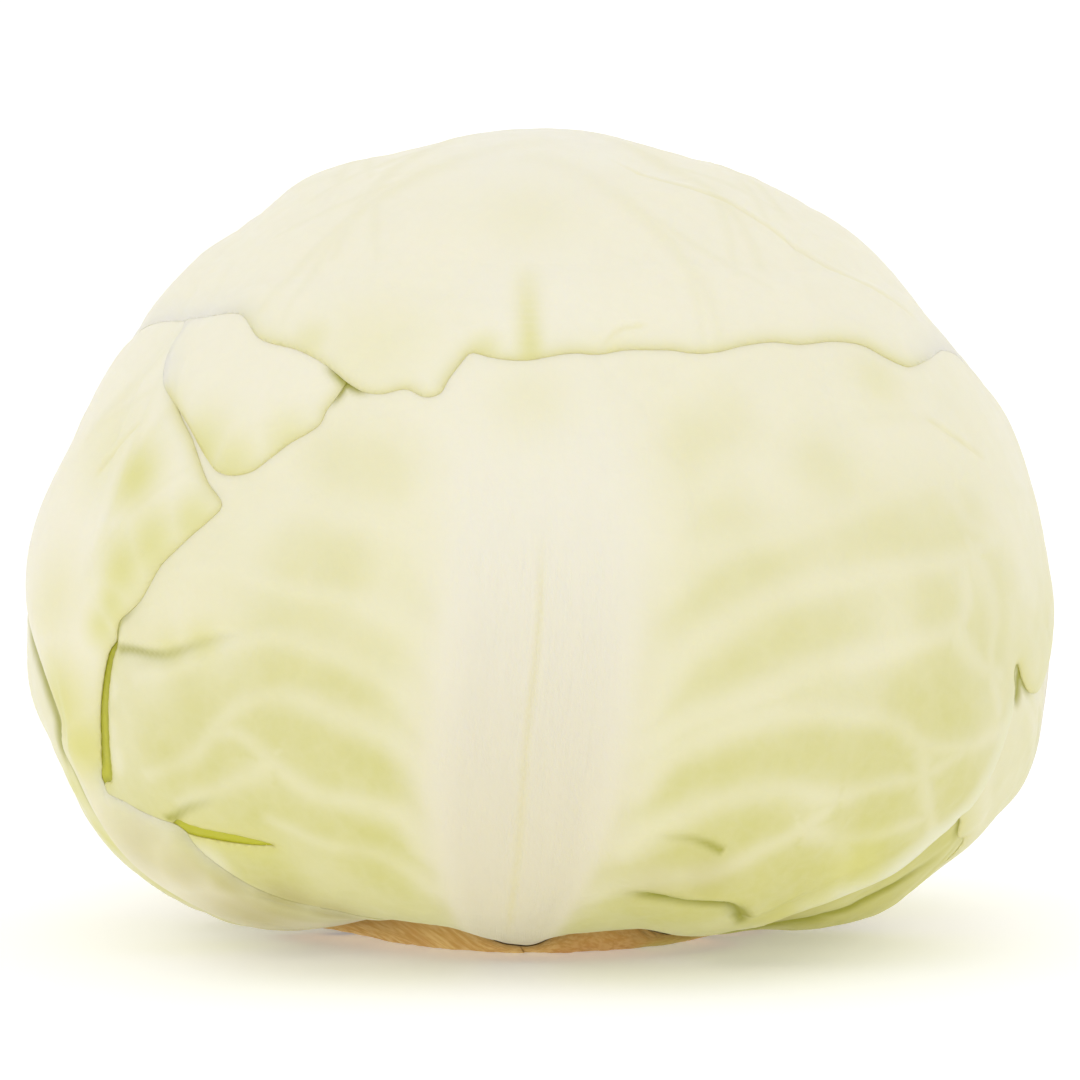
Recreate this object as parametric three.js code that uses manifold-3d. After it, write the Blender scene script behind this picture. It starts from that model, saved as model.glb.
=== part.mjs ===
// A white cabbage as it is sold: a dense, slightly flattened head cut flat at the stem, with its outer
// leaves wrapped round a tight heart. Millimetres, +Z up, the front at -Y, and the origin at the centre of
// the cut stem, which the head stands on.
//
// Every leaf is a thin shell laid over the ones beneath it. All of them, and the heart, take their corners
// from one shared weave of directions out of the head's middle, so that a leaf's facets lie exactly along
// the facets under it and no two shells can cut into each other.

import * as THREE from "three";
import { mergeVertices } from "three/addons/utils/BufferGeometryUtils.js";
import Module from "manifold-3d";

const wasm = await Module();
wasm.setup();

// Driving dimensions of the head.
const HEAD_WIDTH = 172.5;
const HEAD_DEPTH = 161;
const HEAD_HEIGHT = 133.5;
const WAIST_HEIGHT = 51.5; // height of the widest place, which is the middle that the weave starts from
const CROWN_ROUNDNESS = 1.9; // exponent of the outline above the waist: 2 is an ellipse
const UNDERSIDE_ROUNDNESS = 2.7; // and below it, where the head is squarer
const UNDERSIDE_DEPTH = 53.4; // how far below the waist that curve would end
const UNDERSIDE_HEIGHT = 2; // but the head flattens this far above the cut
const UNDERSIDE_FLATNESS = 30; // and this is how suddenly it does

// Driving dimensions of the leaves.
const LEAF_THICKNESS = 0.9;
const LEAF_GAP = 0.35; // free space kept between any two leaves
const DRAPE = 8; // how soon a leaf sinks back once it has passed the margin of the one beneath
const PACKING_SPREAD = 0.24; // how widely the heart gives way under the leaves, in radians
const BLADE_RADIUS = 80; // turns an angle seen from the middle into a length on a leaf

// Driving dimensions of the stem and of the stubs of the trimmed leaves round it.
const STEM_RADIUS = 17;
const CORE_HEIGHT = 62; // how far the stem runs up into the heart
const STUB_REACH = 31;
const STUB_HEIGHT = 9;

// How finely the shared weave and the outlines are divided.
const WEAVE_DETAIL = 7;
const OUTLINE_STEPS = 120;
const RIB_STEPS = 24;
const STEM_SIDES = 32;
const STUB_STEPS = 10;
const CUT_KEEP = 0.1; // a margin never crosses a weave edge nearer to its end than this share

const { degToRad, lerp, smoothstep, clamp } = THREE.MathUtils;

// The leaves from the innermost outwards. A margin is the leaf's edge as [longitude, latitude] in degrees
// seen from the middle of the head: longitude 0 is the front, 90 the right and 180 the back, and latitude
// 90 is the crown. A rib runs from the stem to the tip in the same terms.
const LEAVES = [
  {
    name: "inner_left_leaf",
    colour: 0xcfd38a,
    centre: [-40, 0],
    rib: { path: [[-40, -80], [-40, -20], [-38, 40]], height: 0.6 },
    margin: [
      [-38, 46], [0, 42], [18, 20], [10, -15], [-8, -45], [-8, -70], [-25, -82],
      [-65, -82], [-76, -68], [-74, -45], [-88, -15], [-96, 20], [-76, 40],
    ],
  },
  {
    name: "lower_right_leaf",
    colour: 0xd0d493,
    centre: [52, -10],
    rib: { path: [[48, -80], [52, -30], [54, 20]], height: 1.0 },
    margin: [
      [54, 48], [86, 36], [104, 8], [100, -18], [86, -42], [74, -62], [78, -80],
      [40, -84], [14, -78], [22, -60], [18, -40], [4, -15], [4, 15], [22, 38],
    ],
  },
  {
    name: "rear_left_leaf",
    colour: 0xdfe2b4,
    centre: [-112, 5],
    rib: { path: [[-104, -80], [-108, -30], [-114, 20], [-116, 50]], height: 1.6 },
    margin: [
      [-112, 58], [-78, 50], [-60, 30], [-54, 0], [-52, -22], [-62, -40], [-74, -58], [-76, -78],
      [-104, -84], [-132, -78], [-134, -58], [-150, -38], [-166, -8], [-168, 25], [-152, 52],
    ],
  },
  {
    name: "right_leaf",
    colour: 0xe2e5bd,
    centre: [88, 2],
    rib: { path: [[90, -80], [88, -30], [87, 20], [86, 50]], height: 1.6 },
    margin: [
      [86, 57], [120, 50], [142, 24], [138, -8], [124, -36], [114, -58], [118, -78],
      [92, -84], [66, -78], [72, -60], [74, -44], [70, -32], [62, -25], [56, -20], [44, -8], [40, 20], [50, 48],
    ],
  },
  {
    name: "rear_right_leaf",
    colour: 0xdfe3b7,
    centre: [138, 4],
    rib: { path: [[140, -80], [138, -30], [136, 20], [134, 50]], height: 1.6 },
    margin: [
      [134, 56], [164, 50], [-172, 24], [-176, -8], [172, -36], [162, -58], [164, -78],
      [138, -84], [116, -78], [120, -58], [112, -38], [100, -14], [94, 14], [102, 46],
    ],
  },
  {
    name: "front_leaf",
    colour: 0xe3e3bf,
    centre: [0, -12],
    rib: { path: [[-6, -80], [-4, -45], [-2, -20], [0, 10], [-1, 40], [-1, 58]], height: 4.2 },
    margin: [
      [0, 54], [34, 53], [60, 47], [76, 36], [80, 20], [74, 7], [66, -2], [62, -11], [57, -20], [50, -27],
      [36, -37], [24, -50], [24, -66], [34, -78], [0, -84], [-40, -78], [-32, -66], [-25, -52], [-29, -38],
      [-40, -27], [-52, -19], [-58, -14], [-57, -5], [-57, 2], [-70, 12], [-76, 26], [-66, 40], [-36, 51],
    ],
  },
  {
    name: "left_leaf",
    colour: 0xe6e8c4,
    centre: [-68, -2],
    rib: { path: [[-46, -80], [-52, -45], [-60, -20], [-68, 5], [-80, 35], [-90, 50]], height: 3.2 },
    margin: [
      [-94, 54], [-116, 42], [-114, 20], [-96, 6], [-79, 0], [-70, -6], [-67, -14], [-67, -26], [-66, -40],
      [-64, -56], [-72, -76], [-45, -84], [-18, -76], [-30, -58], [-29, -38], [-36, -27], [-50, -22], [-60, -15],
      [-58, -4], [-55, 2], [-47, 10], [-40, 17], [-46, 24], [-54, 30], [-60, 42], [-72, 50],
    ],
  },
  {
    name: "shoulder_leaf",
    colour: 0xe9e6c8,
    centre: [-128, 46],
    rib: { path: [[-148, -80], [-146, -30], [-142, 20], [-120, 60], [-60, 56]], height: 1.6 },
    margin: [
      [-62, 36], [-58, 30], [-50, 27], [-41, 20], [-35, 21], [-28, 28], [-24, 36], [-10, 48], [0, 64],
      [60, 74], [140, 60], [165, 30], [172, -5], [178, -35], [-176, -60], [-164, -78], [-146, -84],
      [-126, -78], [-130, -58], [-140, -30], [-134, -5], [-124, 16], [-108, 32], [-86, 41], [-70, 42],
    ],
  },
  {
    name: "crown_leaf",
    colour: 0xece8cc,
    centre: [180, 42],
    rib: { path: [[180, -80], [180, -40], [180, 0], [180, 50], [0, 80], [-1, 40]], height: 3.0 },
    margin: [
      [-49, 40], [-34, 36], [-24, 31], [-13, 31], [-9, 36], [0, 36], [15, 37], [32, 37], [48, 36], [56, 32],
      [71, 33], [90, 27], [106, 11], [118, -10], [130, -30], [148, -50], [156, -66], [148, -80], [180, -85],
      [-148, -80], [-156, -66], [-148, -48], [-134, -28], [-126, -8], [-118, 12], [-103, 28], [-82, 36], [-64, 39],
    ],
  },
];

// The stubs of trimmed leaves: the longitude each one points to, and how far it spreads to each side.
const STUBS = [
  { name: "leaf_stub_front_left", longitude: -38, spread: 31, reach: STUB_REACH + 1 },
  { name: "leaf_stub_front_right", longitude: 28, spread: 32, reach: STUB_REACH },
  { name: "leaf_stub_right", longitude: 88, spread: 25, reach: STUB_REACH - 2 },
  { name: "leaf_stub_back_right", longitude: 140, spread: 24, reach: STUB_REACH - 3 },
  { name: "leaf_stub_back", longitude: 192, spread: 25, reach: STUB_REACH - 1 },
  { name: "leaf_stub_left", longitude: 252, spread: 33, reach: STUB_REACH - 2 },
];

// The unit vector that points to a longitude and latitude.
function direction([longitude, latitude]) {
  const lon = degToRad(longitude);
  const lat = degToRad(latitude);
  return new THREE.Vector3(Math.sin(lon) * Math.cos(lat), -Math.cos(lon) * Math.cos(lat), Math.sin(lat));
}

// How far the head's outline is from its middle in a direction.
function outlineRadius(d) {
  const above = d.z >= 0;
  const roundness = above ? CROWN_ROUNDNESS : UNDERSIDE_ROUNDNESS;
  const reach = above ? HEAD_HEIGHT - WAIST_HEIGHT : UNDERSIDE_DEPTH;
  const level = Math.hypot(d.x / (HEAD_WIDTH / 2), d.y / (HEAD_DEPTH / 2));
  const round = (level ** roundness + Math.abs(d.z / reach) ** roundness) ** (-1 / roundness);
  if (above) return round;
  const flat = (WAIST_HEIGHT - UNDERSIDE_HEIGHT) / Math.abs(d.z);
  return (round ** -UNDERSIDE_FLATNESS + flat ** -UNDERSIDE_FLATNESS) ** (-1 / UNDERSIDE_FLATNESS);
}

// The shared weave: unit directions, and the triangles between them.
function makeWeave() {
  const geometry = new THREE.IcosahedronGeometry(1, WEAVE_DETAIL);
  geometry.deleteAttribute("normal");
  geometry.deleteAttribute("uv");
  const merged = mergeVertices(geometry, 1e-4);
  const position = merged.getAttribute("position");
  const directions = [];
  for (let i = 0; i < position.count; i++) {
    directions.push(new THREE.Vector3().fromBufferAttribute(position, i).normalize());
  }
  const triangles = [];
  for (let i = 0; i < merged.index.count; i += 3) {
    triangles.push([merged.index.getX(i), merged.index.getX(i + 1), merged.index.getX(i + 2)]);
  }
  return { directions, triangles };
}

const weave = makeWeave();

// How deep the leaves lie round each direction of the weave: a smooth mean of the pile of leaves over it.
function smoothDepths(piles) {
  return weave.directions.map((d) => {
    let sum = 0;
    let weights = 0;
    weave.directions.forEach((other, i) => {
      const weight = Math.exp(-0.5 * (d.distanceTo(other) / PACKING_SPREAD) ** 2);
      sum += weight * piles[i];
      weights += weight;
    });
    return sum / weights;
  });
}

// The surface a given number of millimetres above the heart's, as the point in each direction of the weave.
function surfaceAt(depths, heights) {
  return weave.directions.map((d, i) => {
    const point = d.clone().multiplyScalar(outlineRadius(d) - depths[i] + heights[i]);
    return point.setZ(point.z + WAIST_HEIGHT);
  });
}

// The longest edge of the weave, as a length on a leaf.
const CELL = BLADE_RADIUS * Math.max(...weave.triangles.map(([a, b]) =>
  weave.directions[a].distanceTo(weave.directions[b])));

// A smooth line on the unit sphere through points given as [longitude, latitude].
function lineOnHead(points, closed, steps) {
  const curve = new THREE.CatmullRomCurve3(points.map(direction), closed, "centripetal");
  return curve.getPoints(steps).map((p) => p.normalize());
}

// The nearest place to d on a line: how far off it is, in millimetres, and what share of the line it is at.
function nearestOn(line, d) {
  const segment = new THREE.Line3();
  const foot = new THREE.Vector3();
  let best = { distance: Infinity, share: 0 };
  for (let i = 0; i + 1 < line.length; i++) {
    segment.set(line[i], line[i + 1]);
    const along = segment.closestPointToPointParameter(d, true);
    const distance = segment.at(along, foot).distanceTo(d) * BLADE_RADIUS;
    if (distance < best.distance) best = { distance, share: (i + along) / (line.length - 1) };
  }
  return best;
}

// A direction on the flat map round a leaf's centre, which keeps every angle from that centre.
function onMap(centre, d) {
  const across = new THREE.Vector3(0, 0, 1).cross(centre).normalize();
  const up = centre.clone().cross(across);
  const angle = centre.angleTo(d);
  const bearing = Math.atan2(d.dot(across), d.dot(up));
  return new THREE.Vector2(angle * Math.sin(bearing), angle * Math.cos(bearing));
}

// Whether a point of a map lies inside a closed outline on it.
function isInside(outline, point) {
  let inside = false;
  for (let i = 0, j = outline.length - 1; i < outline.length; j = i++) {
    const a = outline[i];
    const b = outline[j];
    if (a.y > point.y === b.y > point.y) continue;
    if (point.x < ((b.x - a.x) * (point.y - a.y)) / (b.y - a.y) + a.x) inside = !inside;
  }
  return inside;
}

// How far each direction of the weave is outside a leaf's margin, in millimetres, and less than 0 inside it.
function distancesOutside(leaf) {
  const margin = lineOnHead(leaf.margin, true, OUTLINE_STEPS);
  const centre = direction(leaf.centre);
  const outline = margin.map((d) => onMap(centre, d));
  return weave.directions.map((d) => {
    const { distance } = nearestOn(margin, d);
    return isInside(outline, onMap(centre, d)) ? -distance : distance;
  });
}

// How much thicker a leaf is along its rib: most a little above the stem, and least at the tip.
function ribSwellings({ rib }) {
  const line = lineOnHead(rib.path, false, RIB_STEPS);
  return weave.directions.map((d) => {
    const { distance, share } = nearestOn(line, d);
    const halfWidth = lerp(14, 20, smoothstep(share, 0, 0.4)) * lerp(1, 0.4, share);
    const height = rib.height * lerp(0.5, 1, smoothstep(share, 0, 0.2)) * lerp(1, 0.12, smoothstep(share, 0.2, 0.85));
    return height * (1 - smoothstep(distance, 0.35 * halfWidth, 1.15 * halfWidth));
  });
}

// A closed manifold-3d solid from corner points and triangles.
function solidFrom(points, triangles) {
  const vertProperties = new Float32Array(points.flatMap((p) => [p.x, p.y, p.z]));
  const mesh = new wasm.Mesh({ numProp: 3, vertProperties, triVerts: new Uint32Array(triangles.flat()) });
  mesh.merge();
  return new wasm.Manifold(mesh);
}

// A leaf as a closed shell: the triangles of the weave inside its margin, cut along it, on two surfaces.
function leafShell(outside, low, high) {
  const points = [];
  const triangles = [];
  const made = new Map();
  const corner = (key, place) => {
    if (!made.has(key)) {
      made.set(key, points.length);
      points.push(place(high), place(low));
    }
    return made.get(key);
  };
  const atWeave = (i) => corner(`${i}`, (surface) => surface[i]);
  const atCut = (i, j) => {
    const [a, b] = i < j ? [i, j] : [j, i];
    const share = clamp(outside[a] / (outside[a] - outside[b]), CUT_KEEP, 1 - CUT_KEEP);
    return corner(`${a}-${b}`, (surface) => surface[a].clone().lerp(surface[b], share));
  };
  for (const triangle of weave.triangles) {
    const loop = [];
    let leave = null;
    let enter = null;
    triangle.forEach((i, n) => {
      const j = triangle[(n + 1) % 3];
      if (outside[i] < 0) loop.push(atWeave(i));
      if (outside[i] < 0 === outside[j] < 0) return;
      loop.push(atCut(i, j));
      if (outside[i] < 0) leave = loop.at(-1);
      else enter = loop.at(-1);
    });
    for (let n = 1; n + 1 < loop.length; n++) {
      triangles.push([loop[0], loop[n], loop[n + 1]]);
      triangles.push([loop[0] + 1, loop[n + 1] + 1, loop[n] + 1]);
    }
    if (leave === null) continue;
    triangles.push([enter, leave, leave + 1], [enter, leave + 1, enter + 1]);
  }
  return solidFrom(points, triangles);
}

// A three.js geometry as a manifold-3d solid.
function solidOf(geometry) {
  geometry.deleteAttribute("normal");
  geometry.deleteAttribute("uv");
  const merged = mergeVertices(geometry, 1e-4);
  const position = merged.getAttribute("position");
  const points = [];
  for (let i = 0; i < position.count; i++) points.push(new THREE.Vector3().fromBufferAttribute(position, i));
  const triangles = [];
  for (let i = 0; i < merged.index.count; i += 3) {
    triangles.push([merged.index.getX(i), merged.index.getX(i + 1), merged.index.getX(i + 2)]);
  }
  return solidFrom(points, triangles);
}

// The stem, from a foot level up into the heart. A clearance makes it that much larger all round.
function stem(foot, clearance) {
  const profile = [
    [0, foot], [STEM_RADIUS - 0.8 + clearance, foot], [STEM_RADIUS + clearance, foot + 0.8],
    [STEM_RADIUS + clearance, 9], [STEM_RADIUS - 4 + clearance, 22], [STEM_RADIUS - 8 + clearance, 40],
    [STEM_RADIUS - 12.5 + clearance, CORE_HEIGHT - 4], [0, CORE_HEIGHT + clearance],
  ].map(([r, z]) => new THREE.Vector2(r, z));
  return solidOf(new THREE.LatheGeometry(profile, STEM_SIDES).rotateX(Math.PI / 2));
}

// The stub that a trimmed leaf leaves against the stem: a crescent, as a leaf's base is in section.
function stub({ longitude, spread, reach }) {
  const inner = STEM_RADIUS + LEAF_GAP;
  const bend = (share) => degToRad(longitude - 90 + spread * share);
  const shape = new THREE.Shape();
  const steps = Array.from({ length: STUB_STEPS + 1 }, (_, i) => (2 * i) / STUB_STEPS - 1);
  const rim = steps.map((share) => [lerp(reach, inner + 3, Math.abs(share) ** 3), bend(share)]);
  const heel = steps.toReversed().map((share) => [inner, bend(share)]);
  shape.setFromPoints([...rim, ...heel].map(([r, a]) => new THREE.Vector2(r * Math.cos(a), r * Math.sin(a))));
  return solidOf(new THREE.ExtrudeGeometry(shape, { depth: STUB_HEIGHT, bevelEnabled: false }));
}

// A manifold-3d solid as a named mesh.
function meshFrom(solid, name, colour, roughness) {
  const { numProp, vertProperties, triVerts } = solid.getMesh();
  const geometry = new THREE.BufferGeometry();
  const positions = [];
  for (const v of triVerts) positions.push(...vertProperties.slice(v * numProp, v * numProp + 3));
  geometry.setAttribute("position", new THREE.Float32BufferAttribute(positions, 3));
  geometry.computeVertexNormals();
  const material = new THREE.MeshStandardMaterial({ color: colour, roughness, metalness: 0 });
  const mesh = new THREE.Mesh(geometry, material);
  mesh.name = name;
  return mesh;
}

// Each leaf with the heights of its two faces above the heart, and the height of the whole pile of leaves.
function pileUp() {
  let pile = weave.directions.map(() => 0);
  const leaves = LEAVES.map((leaf) => {
    const outside = distancesOutside(leaf);
    const swelling = ribSwellings(leaf);
    const low = pile.map((h) => h + LEAF_GAP);
    const high = low.map((h, i) => h + LEAF_THICKNESS + swelling[i]);
    pile = pile.map((h, i) => lerp(high[i], h, smoothstep(outside[i], CELL, CELL + DRAPE)));
    return { ...leaf, outside, low, high };
  });
  return { leaves, pile };
}

// The whole head, from the stem and the heart outwards.
function whiteCabbage() {
  const head = new THREE.Group();
  head.name = "white_cabbage";
  const { leaves, pile } = pileUp();
  const depths = smoothDepths(pile);
  const bodyUpTo = (heights) => solidFrom(surfaceAt(depths, heights), weave.triangles);
  const stemRoom = stem(-HEAD_HEIGHT, LEAF_GAP);
  head.add(meshFrom(stem(0, 0), "cut_stem", 0xe6dfc0, 0.7));
  head.add(meshFrom(bodyUpTo(pile.map(() => 0)).subtract(stemRoom), "heart", 0xe4e4b4, 0.5));
  for (const { name, colour, outside, low, high } of leaves) {
    const shell = leafShell(outside, surfaceAt(depths, low), surfaceAt(depths, high));
    head.add(meshFrom(shell.subtract(stemRoom), name, colour, 0.5));
  }
  const leavesRoom = bodyUpTo(pile.map((h) => h + LEAF_GAP));
  for (const leafStub of STUBS) {
    head.add(meshFrom(stub(leafStub).subtract(leavesRoom), leafStub.name, 0xd9d0a6, 0.8));
  }
  return head;
}

export default whiteCabbage();
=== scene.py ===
"""A white cabbage: a dense, slightly flattened head of overlapping leaves that stands on its cut stem.

Every leaf is a thin shell laid over the ones beneath it. A direction out of the head's middle is given as
[longitude, latitude] in degrees: longitude 0 is the front, 90 the right and 180 the back, and latitude 90
is the crown. Lengths on a leaf are in millimetres until a piece is made.
"""

import math

import bpy
import numpy as np
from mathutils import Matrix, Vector
from mathutils.kdtree import KDTree


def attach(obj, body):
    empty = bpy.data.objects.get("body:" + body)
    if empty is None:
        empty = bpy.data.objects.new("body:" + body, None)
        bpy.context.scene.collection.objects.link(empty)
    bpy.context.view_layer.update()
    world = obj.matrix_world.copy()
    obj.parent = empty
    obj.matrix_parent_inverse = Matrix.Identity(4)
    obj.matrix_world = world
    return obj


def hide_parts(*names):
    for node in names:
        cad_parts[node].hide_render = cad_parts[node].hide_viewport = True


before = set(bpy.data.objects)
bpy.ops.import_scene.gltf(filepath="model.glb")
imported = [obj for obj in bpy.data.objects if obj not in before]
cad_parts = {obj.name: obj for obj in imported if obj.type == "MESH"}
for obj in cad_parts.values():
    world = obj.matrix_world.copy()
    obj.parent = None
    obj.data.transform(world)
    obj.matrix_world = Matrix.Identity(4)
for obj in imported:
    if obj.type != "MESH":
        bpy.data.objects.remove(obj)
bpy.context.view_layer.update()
MM = 0.001

# The head's outline, as the solids have it, in millimetres.
HEAD_WIDTH = 172.5
HEAD_DEPTH = 161.0
HEAD_HEIGHT = 133.5
WAIST_HEIGHT = 51.5
CROWN_ROUNDNESS = 1.9
UNDERSIDE_ROUNDNESS = 2.7
UNDERSIDE_DEPTH = 53.4
UNDERSIDE_HEIGHT = 2.0
UNDERSIDE_FLATNESS = 30.0
MIDDLE = np.array([0.0, 0.0, WAIST_HEIGHT])

# Leaves in general, in millimetres. A leaf drapes from its margin down to the pile beneath it.
LEAF_THICKNESS = 0.9
MARGIN_THICKNESS = 0.07
LEAF_GAP = 0.35
MARGIN_GAP = 0.02
MARGIN_LIFT = 0.02
DRAPE = 5.0
BLADE_RADIUS = 80.0
STEM_RADIUS = 17.0
STEM_ROOM = 17.5
STRAND_RING_RADIUS = 11.8

# How widely the depth of the packing is evened out, on a head of radius 1.
PACKING_SPREAD = 0.24

# How green a blade is: everywhere, low on the head, in the patches between veins, and in its mottling.
GREEN_EVERYWHERE = 0.14
GREEN_LOW = 0.46
GREEN_PATCH = 0.27
GREEN_MOTTLE = 0.1
PATCH_REACH = 5.8

# How much a leaf's cream tint, its veins and its painted highlights, pale lit places along a curled margin,
# take away of the green.
CREAM_PALES = 0.35
VEIN_PALES = 0.6
HIGHLIGHT_PALES = 0.35

# Distances between the points of lines and veins, and between a growing vein's bends, in millimetres.
LINE_SPACING = 0.4
VEIN_SPACING = 0.5
VEIN_STEP = 3.0

# Places where the whole head is a little hollow or full: [longitude, latitude], reach and height in mm.
FORMS = [
    ([-26, -48], 17, -3.6), ([-48, -52], 15, -2.4), ([17, -50], 11, -3.4), ([26, -46], 7, -1.1),
    ([-22, -46], 8, -1.4), ([-3, -56], 8, -0.7), ([-46, -52], 12, -3.0),
    ([-78, -16], 10, -1.7), ([-62, -42], 10, 1.4), ([-80, -38], 10, 1.5), ([58, -40], 9, 1.3),
    ([68, -37], 9, 0.9), ([77, -28], 8, -1.1), ([80, -9], 7, -0.7), ([88, 10], 8, -0.7), ([88, 29], 6, 0.8),
    ([105, 76], 6, -1.1), ([-88, 17], 9, -0.8), ([-84, -19], 8, -0.6), ([-88, -1], 6, -0.4),
    ([-58, -40], 9, 0.9), ([-66, -46], 9, 0.6), ([-50, -43], 8, 0.5), ([77, -21], 7, -0.5),
    ([66, -36], 6, 0.5), ([50, -47], 6, -0.5), ([-82, 22], 8, -0.7), ([-2, -46], 7, -0.5),
    ([-90, -17], 12, -2.2), ([-90, -42], 10, 2.4), ([90, -41], 10, 2.4),
    ([90, -25], 10, -1.7), ([90, -11], 10, -1.2), ([90, 25], 8, 1.4), ([50, 74], 9, -1.5),
    ([90, 3], 24, -1.5), ([90, 33], 14, -1.7), ([90, 61], 12, 0.9), ([90, -28], 13, -1.6),
    ([90, -49], 9, 1.0), ([0, 85], 22, -1.1), ([-90, 62], 11, 2.0), ([-90, 43], 11, -1.0),
    ([-90, 24], 14, -2.1), ([-90, 4], 18, -1.2), ([-90, -21], 13, -2.5),
]

# The weave of directions that all leaves share: how often its triangles are divided where a leaf is bare,
# where it is covered, and for the packing's depth.
FINE = 7
COARSE = 5
SPARSE = 3
PARTS = 4 ** (FINE - COARSE)


# ---------------------------------------------------------------- numbers

def smoothstep(x, low, high):
    """0 up to the low value, 1 from the high one, and smooth between them."""
    t = np.clip((x - low) / (high - low), 0.0, 1.0)
    return t * t * (3 - 2 * t)


def bump(x):
    """1 at 0 and smoothly 0 from 1 onwards."""
    return 1 - smoothstep(np.abs(x), 0.0, 1.0)


def ends_of(share, begun, fading):
    """1 along a line: it is begun by the one share of its length, and fades from the other to its end."""
    return smoothstep(share, 0, begun) * (1 - smoothstep(share, fading, 1))


def lattice(cells, seed):
    """A steady pseudo-random number from 0 to 1 for each whole-numbered cell."""
    c = cells.astype(np.int64)
    h = c[:, 0] * 374761393 + c[:, 1] * 668265263 + c[:, 2] * 2147483647 + seed * 1274126177
    h = (h ^ (h >> 13)) * 1274126177 & 0xFFFFFFFF
    h = (h ^ (h >> 16)) & 0xFFFFFFFF
    return h / 0xFFFFFFFF


def noise(points, size, seed):
    """Smooth noise from -1 to 1 whose lumps are about a size across."""
    p = points / size
    cell = np.floor(p)
    f = p - cell
    f = f * f * (3 - 2 * f)
    total = np.zeros(len(points))
    for corner in np.ndindex(2, 2, 2):
        offset = np.array(corner)
        weight = np.prod(np.where(offset, f, 1 - f), axis=1)
        total += weight * lattice(cell + offset, seed)
    return 2 * total - 1


def layered_noise(points, size, seed, layers=3):
    """Noise with finer and weaker layers laid over it."""
    total = sum(noise(points, size / 2 ** n, seed + n) / 2 ** n for n in range(layers))
    return total / sum(1 / 2 ** n for n in range(layers))


# ---------------------------------------------------------------- directions and lines on the head

def direction(places):
    """Unit vectors for [longitude, latitude] pairs."""
    lon, lat = np.radians(np.atleast_2d(places)).T
    return np.stack([np.sin(lon) * np.cos(lat), -np.cos(lon) * np.cos(lat), np.sin(lat)], axis=1)


def unit(v):
    return v / np.linalg.norm(v, axis=-1, keepdims=True)


def outline_radius(d):
    """How far the head's outline is from its middle in each direction."""
    level = np.hypot(d[:, 0] / (HEAD_WIDTH / 2), d[:, 1] / (HEAD_DEPTH / 2))
    rise = np.maximum(np.abs(d[:, 2]), 1e-6)
    above = (level ** CROWN_ROUNDNESS + (rise / (HEAD_HEIGHT - WAIST_HEIGHT)) ** CROWN_ROUNDNESS)
    above = above ** (-1 / CROWN_ROUNDNESS)
    below = level ** UNDERSIDE_ROUNDNESS + (rise / UNDERSIDE_DEPTH) ** UNDERSIDE_ROUNDNESS
    below = below ** (-1 / UNDERSIDE_ROUNDNESS)
    flat = (WAIST_HEIGHT - UNDERSIDE_HEIGHT) / rise
    below = (below ** -UNDERSIDE_FLATNESS + flat ** -UNDERSIDE_FLATNESS) ** (-1 / UNDERSIDE_FLATNESS)
    return np.where(d[:, 2] >= 0, above, below)


def curve_through(points, closed, spacing):
    """A smooth line through points, as evenly dense points about a spacing apart."""
    p = np.vstack([points[-1:], points, points[:2]]) if closed else np.vstack(
        [2 * points[:1] - points[1:2], points, 2 * points[-1:] - points[-2:-1]])
    gap = np.linalg.norm(np.diff(p, axis=0), axis=1) ** 0.5
    pieces = []
    for i in range(1, len(p) - 2):
        a, b, c = gap[i - 1:i + 2]
        steps = max(2, int(np.ceil(b * b / spacing)))
        t = np.linspace(0, 1, steps, endpoint=False)[:, None]
        start = ((p[i] - p[i - 1]) / a - (p[i + 1] - p[i - 1]) / (a + b) + (p[i + 1] - p[i]) / b) * b
        end = ((p[i + 1] - p[i]) / b - (p[i + 2] - p[i]) / (b + c) + (p[i + 2] - p[i + 1]) / c) * b
        h = [2 * t ** 3 - 3 * t ** 2 + 1, t ** 3 - 2 * t ** 2 + t, -2 * t ** 3 + 3 * t ** 2, t ** 3 - t ** 2]
        pieces.append(h[0] * p[i] + h[1] * start + h[2] * p[i + 1] + h[3] * end)
    if not closed:
        pieces.append(points[-1:])
    return np.vstack(pieces)


def line_on_head(points, closed=False, spacing=LINE_SPACING):
    """A smooth line through directions, as unit vectors."""
    return unit(curve_through(points, closed, spacing / BLADE_RADIUS))


class Line:
    """A line on the head that finds the nearest place on itself for many directions at once."""

    def __init__(self, places, closed=False):
        self.points = line_on_head(direction(places), closed)
        self.closed = closed
        self.tree = KDTree(len(self.points))
        for i, p in enumerate(self.points):
            self.tree.insert(p, i)
        self.tree.balance()

    def near(self, d):
        """Distance in millimetres, share along the line, and which side: +1 is its left."""
        n = len(self.points)
        found = np.fromiter((self.tree.find(v)[1] for v in d), np.int64, len(d))
        best, last_along, last_turn = np.full((3, len(d)), np.inf)
        share, side = np.zeros(len(d)), np.ones(len(d))
        for step in (-1, 0):
            i = found + step
            i = i % n if self.closed else np.clip(i, 0, n - 2)
            j = (i + 1) % n
            a, ab = self.points[i], self.points[j] - self.points[i]
            along = np.clip(np.sum((d - a) * ab, axis=1) / np.maximum(np.sum(ab * ab, axis=1), 1e-18), 0, 1)
            off = np.linalg.norm(d - a - along[:, None] * ab, axis=1)
            turn = np.sum(unit(np.cross(a, self.points[j])) * d, axis=1)
            closer = off < best
            best = np.where(closer, off, best)
            share = np.where(closer, (i + along) / (n - 1), share)
            side = np.where(closer, turn, side)
            side = np.where((last_along == 1) & (along == 0), last_turn + turn, side)
            last_along, last_turn = along, turn
        return best * BLADE_RADIUS, share, np.where(side < 0, -1, 1)


# ---------------------------------------------------------------- the weave

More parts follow.
